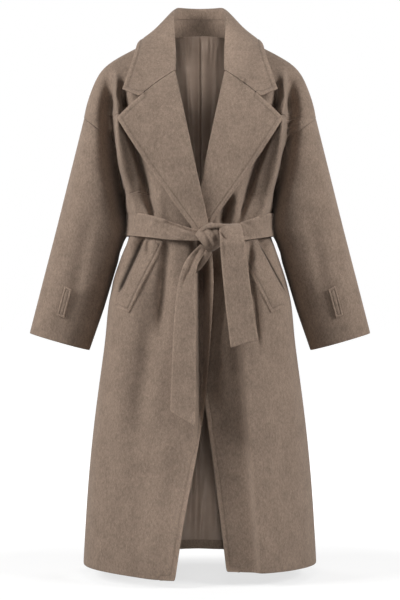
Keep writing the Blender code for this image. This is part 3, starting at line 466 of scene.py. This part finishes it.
ON_RIM = 0.999
RIM_RISE = 0.0006
RIM_RISE_WIDTH = 0.0034
GROOVE_DEPTH = 0.0011
LIFT_REACH = 0.022
AHEAD_FROM_Y = -0.06
AHEAD_TO_Y = 0.02
GORGE_START = (0.047, -0.077)
GORGE_END = (0.120, -0.128)
GORGE_REACH = 0.030
BREAK_Z = -0.42
FRONT_EDGE_X = 0.075
FORWARD = np.array((0.0, -1.0, 0.0))

BODICE_FOLDS = {
    "left": (
        # beside the armhole: a ridge, the valley inside it in two parts, the steep one outside it
        # and a wide shallow one that runs on to the sleeve
        Crease(0.1740, -0.050, 0.1080, -0.400, 0.024, -0.014, 0.013, 0.008, 0.12),
        Crease(0.1640, -0.075, 0.1500, -0.200, 0.000, 0.024, 0.010, 0.006, 0.30),
        Crease(0.1768, -0.090, 0.0730, -0.400, 0.000, 0.024, 0.010, 0.005, 0.18),
        Crease(0.1830, -0.050, 0.1200, -0.450, 0.017, 0.056, 0.005, 0.018, 0.24),
        Crease(0.1880, -0.100, 0.1640, -0.330, 0.006, 0.018, 0.006, 0.034, 0.30),
        # gathers above the belt, and the hollow beside the foot of the lapel
        Crease(0.1430, -0.318, 0.1330, -0.385, 0.000, 0.010, 0.005, 0.005, 0.40),
        Crease(0.0580, -0.318, 0.0440, -0.400, 0.000, 0.020, 0.009, 0.010, 0.30),
        Crease(0.0780, -0.310, 0.0720, -0.390, 0.002, -0.008, 0.010, 0.010, 0.40),
    ),
    "right": (
        Crease(-0.1820, -0.050, -0.1240, -0.400, -0.012, -0.014, 0.008, 0.014, 0.12),
        Crease(-0.1620, -0.075, -0.1500, -0.200, 0.000, 0.024, 0.006, 0.010, 0.30),
        Crease(-0.1733, -0.090, -0.0859, -0.400, 0.000, 0.028, 0.005, 0.009, 0.18),
        Crease(-0.1810, -0.050, -0.1460, -0.450, -0.011, 0.060, 0.018, 0.005, 0.24),
        Crease(-0.1860, -0.100, -0.1640, -0.330, -0.004, 0.026, 0.036, 0.006, 0.30),
        Crease(-0.1420, -0.322, -0.1310, -0.385, 0.000, 0.010, 0.005, 0.005, 0.40),
        Crease(-0.0900, -0.310, -0.0800, -0.390, 0.000, -0.006, 0.012, 0.012, 0.40),
    ),
}
POCKET_MOUTHS = {
    # the slit behind the welt's outer edge, and the cloth that stands out beyond it
    "left": (
        Crease(0.1160, -0.395, 0.1740, -0.530, 0.002, 0.012, 0.005, 0.006, 0.20),
        Crease(0.1330, -0.395, 0.1890, -0.530, 0.002, -0.003, 0.008, 0.010, 0.25),
    ),
    "right": (
        Crease(-0.1120, -0.392, -0.1700, -0.535, -0.003, 0.018, 0.007, 0.007, 0.18),
        Crease(-0.1300, -0.392, -0.1860, -0.530, -0.003, -0.005, 0.007, 0.009, 0.25),
    ),
}
HIP_ROUND = 0.58
PRESS_ROUND_FROM = 0.04


def press_round(piece, creases):
    """Move points in by creases of the front, straight in to the middle of the body."""
    points = points_of(piece)
    inward = points * (-HIP_ROUND, -1.0, 0.0)
    inward = inward / np.linalg.norm(inward, axis=1)[:, None]
    depth = crease_depth(points[:, 0], points[:, 2], creases)
    depth *= smoothstep(-points[:, 1] / PRESS_ROUND_FROM)
    set_points(piece, points + inward * depth[:, None])


# where both fronts lie back between the belt's two ends
BETWEEN_ENDS = Crease(0.0160, -0.390, 0.0180, -0.780, 0.000, 0.030, 0.024, 0.024, 0.25)
SKIRT_FOLDS = {
    "left": (
        # the skirt lies back behind the other front, up to a steep ridge
        Crease(0.0200, -0.380, 0.0760, -1.130, 0.000, 0.029, 0.090, 0.044, 0.12, 8),
        Crease(0.0780, -0.560, 0.1230, -1.130, 0.002, -0.010, 0.007, 0.024, 0.20),
        BETWEEN_ENDS,
        # it lies back beside the belt's shorter end and below the pocket
        Crease(0.0970, -0.410, 0.1210, -0.660, 0.000, 0.015, 0.009, 0.006, 0.26),
        Crease(0.1500, -0.560, 0.1760, -1.000, 0.004, 0.006, 0.022, 0.022, 0.35),
        # gathers below the belt
        Crease(0.0740, -0.402, 0.0860, -0.500, 0.002, 0.007, 0.007, 0.008, 0.40),
        Crease(0.0980, -0.402, 0.1040, -0.470, 0.002, 0.006, 0.006, 0.007, 0.40),
    ),
    "right": (
        # the deep fold beside the front edge
        Crease(0.0020, -0.360, 0.0000, -0.880, 0.002, 0.042, 0.013, 0.0110, 0.16),
        BETWEEN_ENDS,
        # the folds that hang from the belt
        Crease(-0.0620, -0.390, -0.0780, -0.640, -0.004, 0.014, 0.011, 0.012, 0.28),
        Crease(-0.0740, -0.470, -0.1350, -0.880, -0.004, 0.018, 0.030, 0.022, 0.35),
        Crease(-0.0480, -0.740, -0.1050, -1.130, -0.006, -0.011, 0.022, 0.024, 0.28),
        Crease(-0.1750, -0.560, -0.2000, -1.000, -0.004, 0.005, 0.022, 0.022, 0.35),
        Crease(-0.1000, -0.402, -0.1060, -0.460, -0.002, 0.007, 0.006, 0.006, 0.40),
    ),
}


def normals_of(piece):
    flat = np.empty(len(piece.data.vertices) * 3, np.float32)
    piece.data.vertex_normals.foreach_get("vector", flat)
    return flat.reshape(-1, 3).astype(float)


def rim_points(piece, wanted):
    """The points of a piece's rim that lie where wanted."""
    points = points_of(piece)
    rim = piece.vertex_groups["rim"].index
    weights = np.zeros(len(points))
    for vertex in piece.data.vertices:
        for group in vertex.groups:
            if group.group == rim:
                weights[vertex.index] = group.weight
    return points[(weights > ON_RIM) & wanted(points)]


def from_rim(points, rim):
    """How far each point is from the nearest point of a rim."""
    tree = KDTree(len(rim))
    for index, point in enumerate(rim):
        tree.insert(point, index)
    tree.balance()
    return np.array([tree.find(point)[2] for point in points])


def off_gorge(points):
    """How far points of the front view are from the seam that joins collar and lapel."""
    place = np.stack((np.abs(points[:, 0]), points[:, 2]), 1)
    run = np.subtract(GORGE_END, GORGE_START)
    along = np.clip((place - GORGE_START) @ run / (run @ run), 0, 1)
    return np.linalg.norm(place - GORGE_START - along[:, None] * run, axis=1)


def topstitch(piece, wanted, inset=STITCH_INSET, depth=GROOVE_DEPTH, lift=0.0):
    """Puff up the edge of the cloth, draw it in along the row of stitches behind the edge, and
    lift the edge off what lies under it."""
    points = points_of(piece)
    away = from_rim(points, rim_points(piece, wanted))
    puff = RIM_RISE * np.exp(-(((away - inset / 2) / RIM_RISE_WIDTH) ** 2))
    groove = depth * np.exp(-(((away - inset) / GROOVE_WIDTH) ** 2))
    points = points + normals_of(piece) * (puff - groove)[:, None]
    out = points * (1.0, 1.0, 0.0) / np.linalg.norm(points[:, :2], axis=1)[:, None]
    ahead = 1 - smoothstep((points[:, 1] - AHEAD_FROM_Y) / (AHEAD_TO_Y - AHEAD_FROM_Y))
    out = out * (1 - ahead)[:, None] + FORWARD * ahead[:, None]
    free = smoothstep(off_gorge(points) / GORGE_REACH)
    points = points + out * (lift * free * np.exp(-((away / LIFT_REACH) ** 2)))[:, None]
    set_points(piece, points)
    # the material paints shade in the groove and a highlight along the edge from this distance
    set_edge(piece, away * STITCH_INSET / inset)


# where rows of the panel meet beside the armhole: x, z, and how far it reaches across and up
ROW_PLACES = ((0.125, -0.324, 0.018, 0.018), (0.195, -0.160, 0.025, 0.016))
RELAX_TIMES = 40
RELAX_FROM = 0.03


def relax(piece, places):
    """Smooth the cloth round some places, so that no line shows there."""
    points = points_of(piece)
    group = piece.vertex_groups.new(name="relaxed")
    weight = np.zeros(len(points))
    for x, z, across, up in places:
        away = ((np.abs(points[:, 0]) - x) / across) ** 2 + ((points[:, 2] - z) / up) ** 2
        weight = np.maximum(weight, np.exp(-away))
    for index in np.flatnonzero(weight > RELAX_FROM):
        group.add([int(index)], float(weight[index]), "REPLACE")
    even = piece.modifiers.new("even", "SMOOTH")
    even.vertex_group = group.name
    even.iterations = RELAX_TIMES
    bpy.context.view_layer.objects.active = piece
    bpy.ops.object.modifier_apply(modifier=even.name)


def front_edge(points, side):
    """Where a front's free edge runs, below the place where its lapel turns back."""
    inner = points[:, 0] * side < FRONT_EDGE_X
    return (points[:, 2] < BREAK_Z) & inner & (points[:, 1] < 0)


for hand, side in (("left", 1), ("right", -1)):
    front = start_from("front_" + hand, "wool_front_" + hand, FINE_LEVELS)
    press(front, BODICE_FOLDS[hand] + SKIRT_FOLDS[hand], -1)
    press_round(front, POCKET_MOUTHS[hand])
    blouse(front)
    relax(front, ROW_PLACES)
    topstitch(front, partial(front_edge, side=side))
    hand_in(front, "front_" + hand, wool)

# The welt pockets: a doubled strip of wool set slantwise on each hip, sewn down at its inner edge
# and across its ends. The hand goes in behind its outer edge.

WELT_INSET = 0.006
WELT_LINES = {
    # inner edge from its top to its foot
    "left": (0.0980, -0.478, 0.1470, -0.566),
    "right": (-0.0720, -0.420, -0.1400, -0.566),
}
MOUTH_LINES = {
    # the pocket's open edge from its top to its foot
    "left": (0.1164, -0.416, 0.1810, -0.530),
    "right": (-0.1135, -0.405, -0.1720, -0.535),
}
MOUTH_SEEN = {"left": 0.0024, "right": 0.0064}
MOUTH_FADE = 0.25
MOUTH_CUT = 0.02
WELT_SINK = 0.0030
WELT_SINK_REACH = 0.020
BAR_INSET = 0.012


def off_line(points, line):
    """How far points of the front view are from a straight line, measured level."""
    x0, z0, x1, z1 = line
    return np.abs(points[:, 0] - x0 - (points[:, 2] - z0) * (x1 - x0) / (z1 - z0))


def sewn_edge(points, line):
    """Where a welt is sewn down: along its inner edge and across its foot."""
    return (off_line(points, line) < BAR_INSET) | (points[:, 2] < line[3] + BAR_INSET)


def paint_mouth_shade(piece, line, seen):
    """Mark the open edge of a pocket, wide in its middle and closed at its ends, for painted shade
    there.
    """
    points = points_of(piece)
    away = np.empty(len(points), np.float32)
    piece.data.attributes[FROM_EDGE].data.foreach_get("value", away)
    along = (points[:, 2] - line[1]) / (line[3] - line[1])
    width = smoothstep(along / MOUTH_FADE) * smoothstep((1 - along) / MOUTH_FADE)
    gap = off_line(points, line) * PAINTED_MOUTH_WIDTH / (seen * np.maximum(width, MERGE))
    set_edge(piece, np.where((gap < MOUTH_CUT) & (points[:, 1] < 0), PAINTED_MOUTH_MARK + gap, away))


for hand in ("left", "right"):
    welt = start_from("pocket_welt_" + hand, "wool_welt_" + hand, FINE_LEVELS)
    line = WELT_LINES[hand]
    topstitch(welt, partial(sewn_edge, line=line), WELT_INSET)
    press(welt, SKIRT_FOLDS[hand], -1)
    press_round(welt, POCKET_MOUTHS[hand])
    places = points_of(welt)
    places[:, 1] += WELT_SINK * (1 - smoothstep(off_line(places, line) / WELT_SINK_REACH))
    set_points(welt, places)
    # painted shade along the pocket's open edge, on the welt and on the front beside it
    paint_mouth_shade(welt, MOUTH_LINES[hand], MOUTH_SEEN[hand])
    paint_mouth_shade(bpy.data.objects["wool_front_" + hand], MOUTH_LINES[hand], MOUTH_SEEN[hand])
    hand_in(welt, "pocket_welt_" + hand, wool)

# The sleeves: wide one-piece sleeves of the same wool, set into dropped armholes. They hang nearly
# straight, close to the coat's sides.

SLEEVE_HALF = 0.06
SLEEVE_INNER_Z = (-0.300, -0.325, -0.365, -0.395, -0.417, -0.440, -0.460, -0.560, -0.650)
SLEEVE_INNER_X = (0.152, 0.154, 0.160, 0.164, 0.168, 0.174, 0.179, 0.200, 0.225)
SLEEVE_PULL = (0.004, 0.008, 0.014, 0.012, 0.005, 0.003, 0.005, 0.005, 0.001)
SLEEVE_CREASES = {
    "left": (
        Crease(0.262, -0.200, 0.290, -0.420, 0.006, 0.004, 0.016, 0.014, 0.35),
        Crease(0.215, -0.330, 0.262, -0.560, 0.004, 0.004, 0.014, 0.016, 0.35),
        Crease(0.310, -0.380, 0.322, -0.580, 0.003, 0.003, 0.012, 0.014, 0.35),
    ),
    "right": (
        Crease(-0.266, -0.210, -0.288, -0.440, -0.006, 0.004, 0.014, 0.016, 0.35),
        Crease(-0.218, -0.340, -0.266, -0.580, -0.004, 0.005, 0.016, 0.014, 0.35),
        Crease(-0.306, -0.400, -0.326, -0.590, -0.003, 0.003, 0.014, 0.012, 0.35),
    ),
}

for hand in ("left", "right"):
    sleeve = start_from("sleeve_" + hand, "wool_sleeve_" + hand, FINE_LEVELS)
    press(sleeve, BODICE_FOLDS[hand], -1)
    press(sleeve, SLEEVE_CREASES[hand], -1)
    press(sleeve, SLEEVE_CREASES[hand], 1)
    places = points_of(sleeve)
    height = places[:, 2]
    inner = np.interp(-height, -np.array(SLEEVE_INNER_Z), SLEEVE_INNER_X)
    pull = np.interp(-height, -np.array(SLEEVE_INNER_Z), SLEEVE_PULL)
    reach = smoothstep(1 - (np.abs(places[:, 0]) - inner) / SLEEVE_HALF)
    places[:, 0] -= np.sign(places[:, 0]) * pull * reach
    set_points(sleeve, places)
    hand_in(sleeve, "sleeve_" + hand, wool)

# The sleeve straps: short strips of doubled wool near the cuffs, stitched all round and sewn on at
# both of their ends.

TAB_INSET = 0.004
TAB_GROOVE = 0.0007


def whole_rim(points):
    return np.full(len(points), True)


for hand in ("left", "right"):
    tab = start_from("sleeve_tab_" + hand, "wool_tab_" + hand, FINE_LEVELS)
    topstitch(tab, whole_rim, TAB_INSET, TAB_GROOVE)
    hand_in(tab, "sleeve_tab_" + hand, wool)

# The collar: a stand of wool inside the neck, and a fall of doubled wool that is sewn to it, rolls
# over it and lies on the shoulders. The fall's free edge is topstitched.

FALL_LIFT = 0.007
FALL_LOW_Z = 0.03
FALL_SIDE_X = 0.085
FALL_POINT_Z = -0.09
FALL_BACK_Y = 0.02
NOTCH_X = 0.118

stand = start_from("collar_stand", "wool_collar_stand", FINE_LEVELS)
hand_in(stand, "collar_stand", wool)


def outer_edge(points):
    """The collar's rim apart from its seams with the stand and with the lapels."""
    wide = np.abs(points[:, 0])
    low = points[:, 2] < FALL_LOW_Z
    side_edge = (wide > FALL_SIDE_X) & (points[:, 2] > FALL_POINT_Z) & low
    back_edge = (points[:, 1] > FALL_BACK_Y) & low
    return (wide > NOTCH_X) | side_edge | back_edge


fall = start_from("collar_fall", "wool_collar_fall", FINE_LEVELS)
topstitch(fall, outer_edge, lift=FALL_LIFT)
hand_in(fall, "collar_fall", wool)

# The lapels: the upper fronts turned back along the roll line, faced with the same wool and sewn to
# the collar. Their free edges are topstitched and stand off the coat a little.

LAPEL_LIFT = 0.008
ROLL_TOP_X = 0.047
ROLL_TOP_Z = -0.077
ROLL_SLANT = 0.207
ROLL_MARGIN = 0.014
NOTCH_Z = -0.135


def free_edge(points, side):
    """The lapel's rim apart from the roll line and the seam that joins it to the collar."""
    below = ROLL_TOP_Z - points[:, 2]
    past_roll = points[:, 0] * side > ROLL_TOP_X - below * ROLL_SLANT + ROLL_MARGIN
    return past_roll & ((points[:, 2] < NOTCH_Z) | (points[:, 0] * side > NOTCH_X))


for hand, side in (("left", 1), ("right", -1)):
    lapel = start_from("lapel_" + hand, "wool_lapel_" + hand, FINE_LEVELS)
    topstitch(lapel, partial(free_edge, side=side), lift=LAPEL_LIFT)
    hand_in(lapel, "lapel_" + hand, wool)

# The belt: one long strip of doubled wool, tied in front. This is the part round the waist. Its
# two ends turn in behind the knot, and the strip is twisted a little on its way there.

BELT_CREASES = (
    # the strip folds over itself on a slant, and runs on as a fuller roll
    Crease(-0.1005, -0.373, -0.040, -0.4195, 0.000, -0.0060, 0.0200, 0.0040, 0.16),
    Crease(-0.0990, -0.3735, -0.038, -0.4210, 0.000, 0.0052, 0.0036, 0.0034, 0.24),
    Crease(-0.0745, -0.379, -0.004, -0.4115, 0.000, 0.0060, 0.0035, 0.0045, 0.15),
    Crease(-0.060, -0.396, 0.004, -0.408, -0.002, -0.0040, 0.0090, 0.0090, 0.25),
    Crease(-0.140, -0.392, -0.100, -0.400, 0.002, -0.0020, 0.0080, 0.0080, 0.35),
    Crease(0.078, -0.380, 0.116, -0.398, 0.002, 0.0030, 0.0030, 0.0050, 0.35),
    Crease(0.070, -0.404, 0.110, -0.412, -0.002, 0.0025, 0.0035, 0.0035, 0.35),
    Crease(0.130, -0.380, 0.146, -0.400, 0.000, 0.0025, 0.0035, 0.0050, 0.40),
)
BELT_LIFT = 0.003
FINE_FROM_X = -0.13
FINE_TO_X = 0.0
EDGE_SHOWN = 0.004
TUCK_FROM_X = -0.075
TUCK_TO_X = -0.009
TUCK_END_X = 0.02
TUCK_REACH = 0.020
TUCK_NARROW = 0.30
TUCK_Z = -0.411

belt = start_from("belt_waist", "wool_belt", FINE_LEVELS)
bpy.ops.object.mode_set(mode="EDIT")
bpy.ops.mesh.select_all(action="DESELECT")
bpy.ops.object.mode_set(mode="OBJECT")
for face in belt.data.polygons:
    face.select = face.center.x > FINE_FROM_X and face.center.x < FINE_TO_X and face.center.y < 0
bpy.ops.object.mode_set(mode="EDIT")
bpy.ops.mesh.select_mode(type="FACE")
bpy.ops.mesh.subdivide(number_cuts=1, smoothness=0.0)
bpy.ops.object.mode_set(mode="OBJECT")
set_edge(belt, np.full(len(belt.data.vertices), FAR_FROM_EDGE))
press(belt, BELT_CREASES, -1)
places = points_of(belt)
tuck = smoothstep((places[:, 0] - TUCK_FROM_X) / (TUCK_TO_X - TUCK_FROM_X))
tuck = np.where((places[:, 0] < TUCK_END_X) & (places[:, 1] < 0), tuck, 0.0)
places[:, 0] += tuck * TUCK_REACH
places[:, 2] += (TUCK_Z - places[:, 2]) * tuck * TUCK_NARROW
set_points(belt, places)


def soft_edge(piece, lift):
    """Round the edge of a strip that has no row of stitches, keep only the painted highlight along
    its edge, and lift it off what is under it.
    """
    topstitch(piece, whole_rim, STITCH_INSET, 0.0, lift)
    away = np.empty(len(piece.data.vertices), np.float32)
    piece.data.attributes[FROM_EDGE].data.foreach_get("value", away)
    # only the painted highlight near the edge is kept, and no groove shade
    set_edge(piece, np.where(away < EDGE_SHOWN, away, FAR_FROM_EDGE))


soft_edge(belt, BELT_LIFT)
hand_in(belt, "belt_waist", wool)

# The knot: the belt's upper end wraps once round the lower one, and its doubled wool creases on the
# way. A thin roll of it runs over the top to the shorter end, and a flap leads down to the longer.

KNOT_CREASES = (
    Crease(0.000, -0.392, 0.026, -0.438, 0.002, 0.0030, 0.0034, 0.0040, 0.25),
    Crease(0.014, -0.386, 0.038, -0.428, 0.002, 0.0034, 0.0036, 0.0036, 0.25),
    Crease(0.007, -0.388, 0.033, -0.436, 0.002, -0.0020, 0.0040, 0.0040, 0.25),
)
ROLL_ROUND = 6
ROLL_STEPS = 16
ROLL_START_SHARE = 0.6
ROLL_END_SHARE = 0.35
ROLL_RADIUS = 0.0050
ROLL_PLACES = (
    (-0.003, -0.156, -0.404),
    (0.009, -0.172, -0.393),
    (0.024, -0.176, -0.3885),
    (0.042, -0.178, -0.390),
    (0.062, -0.166, -0.396),
)
FLAP_RADIUS = 0.0080
FLAP_PLACES = (
    (0.022, -0.150, -0.434),
    (0.016, -0.158, -0.447),
    (0.007, -0.162, -0.460),
    (-0.004, -0.160, -0.474),
    (-0.016, -0.150, -0.490),
)
FLATTEN = 0.55

knot = start_from("belt_knot", "wool_knot", LEVELS)
press(knot, KNOT_CREASES, -1)


def roll_of_cloth(name, radius, places):
    """A flattened roll of the belt's cloth through five places, fuller in its middle."""
    bpy.ops.object.select_all(action="DESELECT")
    bpy.ops.curve.primitive_nurbs_path_add()
    roll = bpy.context.object
    roll.name = name
    roll.data.bevel_depth = radius
    roll.data.bevel_resolution = ROLL_ROUND
    roll.data.resolution_u = ROLL_STEPS
    roll.data.use_fill_caps = True
    points = roll.data.splines[0].points
    for point, place in zip(points, places):
        point.co = (*place, 1)
    points[0].radius = ROLL_START_SHARE
    points[-1].radius = ROLL_END_SHARE
    bpy.ops.object.convert(target="MESH")
    bpy.ops.object.shade_smooth()
    route = sorted(places)
    around = points_of(roll)
    middle = np.interp(around[:, 0], [place[0] for place in route], [place[1] for place in route])
    around[:, 1] = middle + (around[:, 1] - middle) * FLATTEN
    set_points(roll, around)
    set_edge(roll, np.full(len(around), FAR_FROM_EDGE))
    roll.data.materials.append(wool)
    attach(roll, "root")
    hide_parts("belt_knot")
    return roll


over = roll_of_cloth("wool_knot_roll", ROLL_RADIUS, ROLL_PLACES)
flap = roll_of_cloth("wool_knot_flap", FLAP_RADIUS, FLAP_PLACES)
hand_in(knot, "belt_knot", wool)

# The two free ends of the belt: doubled wool with plain edges. They hang from the knot, stand off
# the skirt a little, and are pleated where they leave the knot.

TAIL_CREASES = {
    "left": (
        Crease(0.030, -0.394, 0.060, -0.424, 0.000, 0.0070, 0.0034, 0.0060, 0.25),
        Crease(0.042, -0.390, 0.050, -0.470, 0.002, 0.0030, 0.0040, 0.0050, 0.35),
        Crease(0.070, -0.440, 0.078, -0.560, 0.002, -0.0025, 0.0100, 0.0090, 0.35),
    ),
    "right": (
        Crease(0.004, -0.430, -0.026, -0.500, -0.003, 0.0045, 0.0030, 0.0035, 0.30),
        Crease(-0.004, -0.434, -0.036, -0.520, -0.003, 0.0040, 0.0030, 0.0035, 0.30),
        Crease(-0.034, -0.520, -0.042, -0.680, 0.000, -0.0025, 0.0080, 0.0080, 0.35),
    ),
}
TAIL_LIFT = {"left": 0.014, "right": 0.008}
TAIL_TOP_Z = {"left": -0.380, "right": -0.430}
TAIL_EDGE_X = {"left": 0.045, "right": -0.058}
TAIL_TURN = {"left": 0.16, "right": 0.26}
TAIL_LIFT_REACH = 0.05

for hand in ("left", "right"):
    tail = start_from("belt_tail_" + hand, "wool_tail_" + hand, FINE_LEVELS)
    press(tail, TAIL_CREASES[hand], -1)
    places = points_of(tail)
    hanging = smoothstep((TAIL_TOP_Z[hand] - places[:, 2]) / TAIL_LIFT_REACH)
    turn = np.maximum(places[:, 0] - TAIL_EDGE_X[hand], 0) * TAIL_TURN[hand]
    places[:, 1] -= (TAIL_LIFT[hand] + turn) * hanging
    set_points(tail, places)
    soft_edge(tail, 0.0)
    hand_in(tail, "belt_tail_" + hand, wool)

# The studio: a white floor just under the hem and a white surround. Two large soft lights stand at
# the sides, weaker ones high in front, low and behind, and narrow ones shine into the neck and
# between the fronts. The camera is level with the pocket ends.

FLOOR_Z = -1.112
FLOOR_SIZE = 60
FLOOR_SHOWN = (0.30, 0.30, 0.30)
FLOOR_DULL = (0.40, 0.40, 0.40)
# the floor's glow to the camera, a painted light, weaker near the coat: painted shade round the coat
GLOW_NEAR = 0.45
GLOW_FAR = 0.95
GLOW_LOW = 0.72
AMBIENT = 0.045
WHITE = (1, 1, 1, 1)
EYE = (0.0, -3.8, -0.540)
FOCAL_PX = 1810
SENSOR = 36
PICTURE_HEIGHT = 600
Lamp = namedtuple("Lamp", "name place aim size power")
LAMPS = (
    Lamp("left", (-3.0, -1.30, 0.95), (0, 0, -0.35), 1.5, 121),
    Lamp("right", (3.0, -1.40, 0.90), (0, 0, -0.35), 1.5, 103),
    Lamp("front", (0.0, -2.6, 1.9), (0, 0, -0.3), 0.8, 14),
    Lamp("low", (0.0, -2.2, -1.0), (0, 0, -0.95), 0.5, 1.5),
    Lamp("behind_left", (-1.8, 2.6, 1.2), (0, 0, -0.5), 1.5, 30),
    Lamp("behind_right", (1.8, 2.6, 1.2), (0, 0, -0.5), 1.5, 30),
)
SPOT_BLEND = 1.0
Spot = namedtuple("Spot", "name place aim cone size power")
SPOTS = (
    Spot("neck_left", (-0.36, -2.4, 0.60), (0.006, 0.07, -0.035), 4.0, 0.05, 80),
    Spot("neck_right", (0.42, -2.4, 0.60), (0.006, 0.07, -0.035), 4.0, 0.05, 80),
    Spot("hem", (0.05, -2.6, -0.80), (0.010, 0.13, -1.01), 6.5, 0.10, 100),
)


def white_floor():
    """Glows white to the camera, a painted light, weaker near the coat so that the coat's faint
    shadow shows there, partly cast and partly painted shade; a dull grey to all other light.
    """
    made = bpy.data.materials.new("studio_floor")
    made.use_nodes = True
    tree = made.node_tree
    shown = tree.nodes["Principled BSDF"]
    shown.inputs["Base Color"].default_value = (*FLOOR_SHOWN, 1)
    shown.inputs["Roughness"].default_value = 1.0
    shown.inputs["Specular IOR Level"].default_value = 0.0
    shown.inputs["Emission Color"].default_value = WHITE
    dull = node_of(tree, "ShaderNodeBsdfDiffuse")
    dull.inputs["Color"].default_value = (*FLOOR_DULL, 1)
    place = tree.nodes.new("ShaderNodeTexCoord").outputs["Object"]
    away = node_of(tree, "ShaderNodeVectorMath", operation="LENGTH")
    glow = node_of(tree, "ShaderNodeMapRange", interpolation_type="SMOOTHSTEP")
    glow.inputs["From Min"].default_value = GLOW_NEAR
    glow.inputs["From Max"].default_value = GLOW_FAR
    glow.inputs["To Min"].default_value = GLOW_LOW
    glow.inputs["To Max"].default_value = 1.0
    ray = tree.nodes.new("ShaderNodeLightPath")
    either = tree.nodes.new("ShaderNodeMixShader")
    tree.links.new(place, away.inputs[0])
    tree.links.new(away.outputs["Value"], glow.inputs["Value"])
    tree.links.new(glow.outputs["Result"], shown.inputs["Emission Strength"])
    tree.links.new(ray.outputs["Is Camera Ray"], either.inputs[0])
    tree.links.new(dull.outputs["BSDF"], either.inputs[1])
    tree.links.new(shown.outputs["BSDF"], either.inputs[2])
    tree.links.new(either.outputs["Shader"], tree.nodes["Material Output"].inputs["Surface"])
    return made


bpy.ops.object.select_all(action="DESELECT")
bpy.ops.mesh.primitive_plane_add(size=FLOOR_SIZE, location=(0, 0, FLOOR_Z))
floor = bpy.context.object
floor.name = "studio_floor"
floor.data.materials.append(white_floor())

world = bpy.data.worlds.new("studio")
bpy.context.scene.world = world
world.use_nodes = True
sky = world.node_tree
ambient = sky.nodes["Background"]
ambient.inputs["Color"].default_value = WHITE
ambient.inputs["Strength"].default_value = AMBIENT
seen = node_of(sky, "ShaderNodeBackground", Strength=1.0)
seen.inputs["Color"].default_value = WHITE
ray = sky.nodes.new("ShaderNodeLightPath")
either = sky.nodes.new("ShaderNodeMixShader")
sky.links.new(ray.outputs["Is Camera Ray"], either.inputs[0])
sky.links.new(ambient.outputs["Background"], either.inputs[1])
sky.links.new(seen.outputs["Background"], either.inputs[2])
sky.links.new(either.outputs["Shader"], sky.nodes["World Output"].inputs["Surface"])


def stand_light(kind, lamp):
    """A light at its place, turned to what it is aimed at."""
    light = bpy.data.lights.new(lamp.name, kind)
    light.energy = lamp.power
    holder = bpy.data.objects.new(lamp.name, light)
    holder.location = lamp.place
    aim = Vector(lamp.aim) - Vector(lamp.place)
    holder.rotation_euler = aim.to_track_quat("-Z", "Y").to_euler()
    bpy.context.scene.collection.objects.link(holder)
    return holder


for lamp in LAMPS:
    holder = stand_light("AREA", lamp)
    holder.data.size = lamp.size
    holder.visible_camera = False

for spot in SPOTS:
    light = stand_light("SPOT", spot).data
    light.spot_size = math.radians(spot.cone)
    light.spot_blend = SPOT_BLEND
    light.shadow_soft_size = spot.size

camera = bpy.data.cameras.new("camera")
camera.sensor_width = SENSOR
camera.lens = SENSOR * FOCAL_PX / PICTURE_HEIGHT
eye = bpy.data.objects.new("camera", camera)
eye.location = EYE
eye.rotation_euler = (math.pi / 2, 0, 0)
bpy.context.scene.collection.objects.link(eye)
bpy.context.scene.camera = eye
bpy.context.scene.view_settings.view_transform = "Standard"
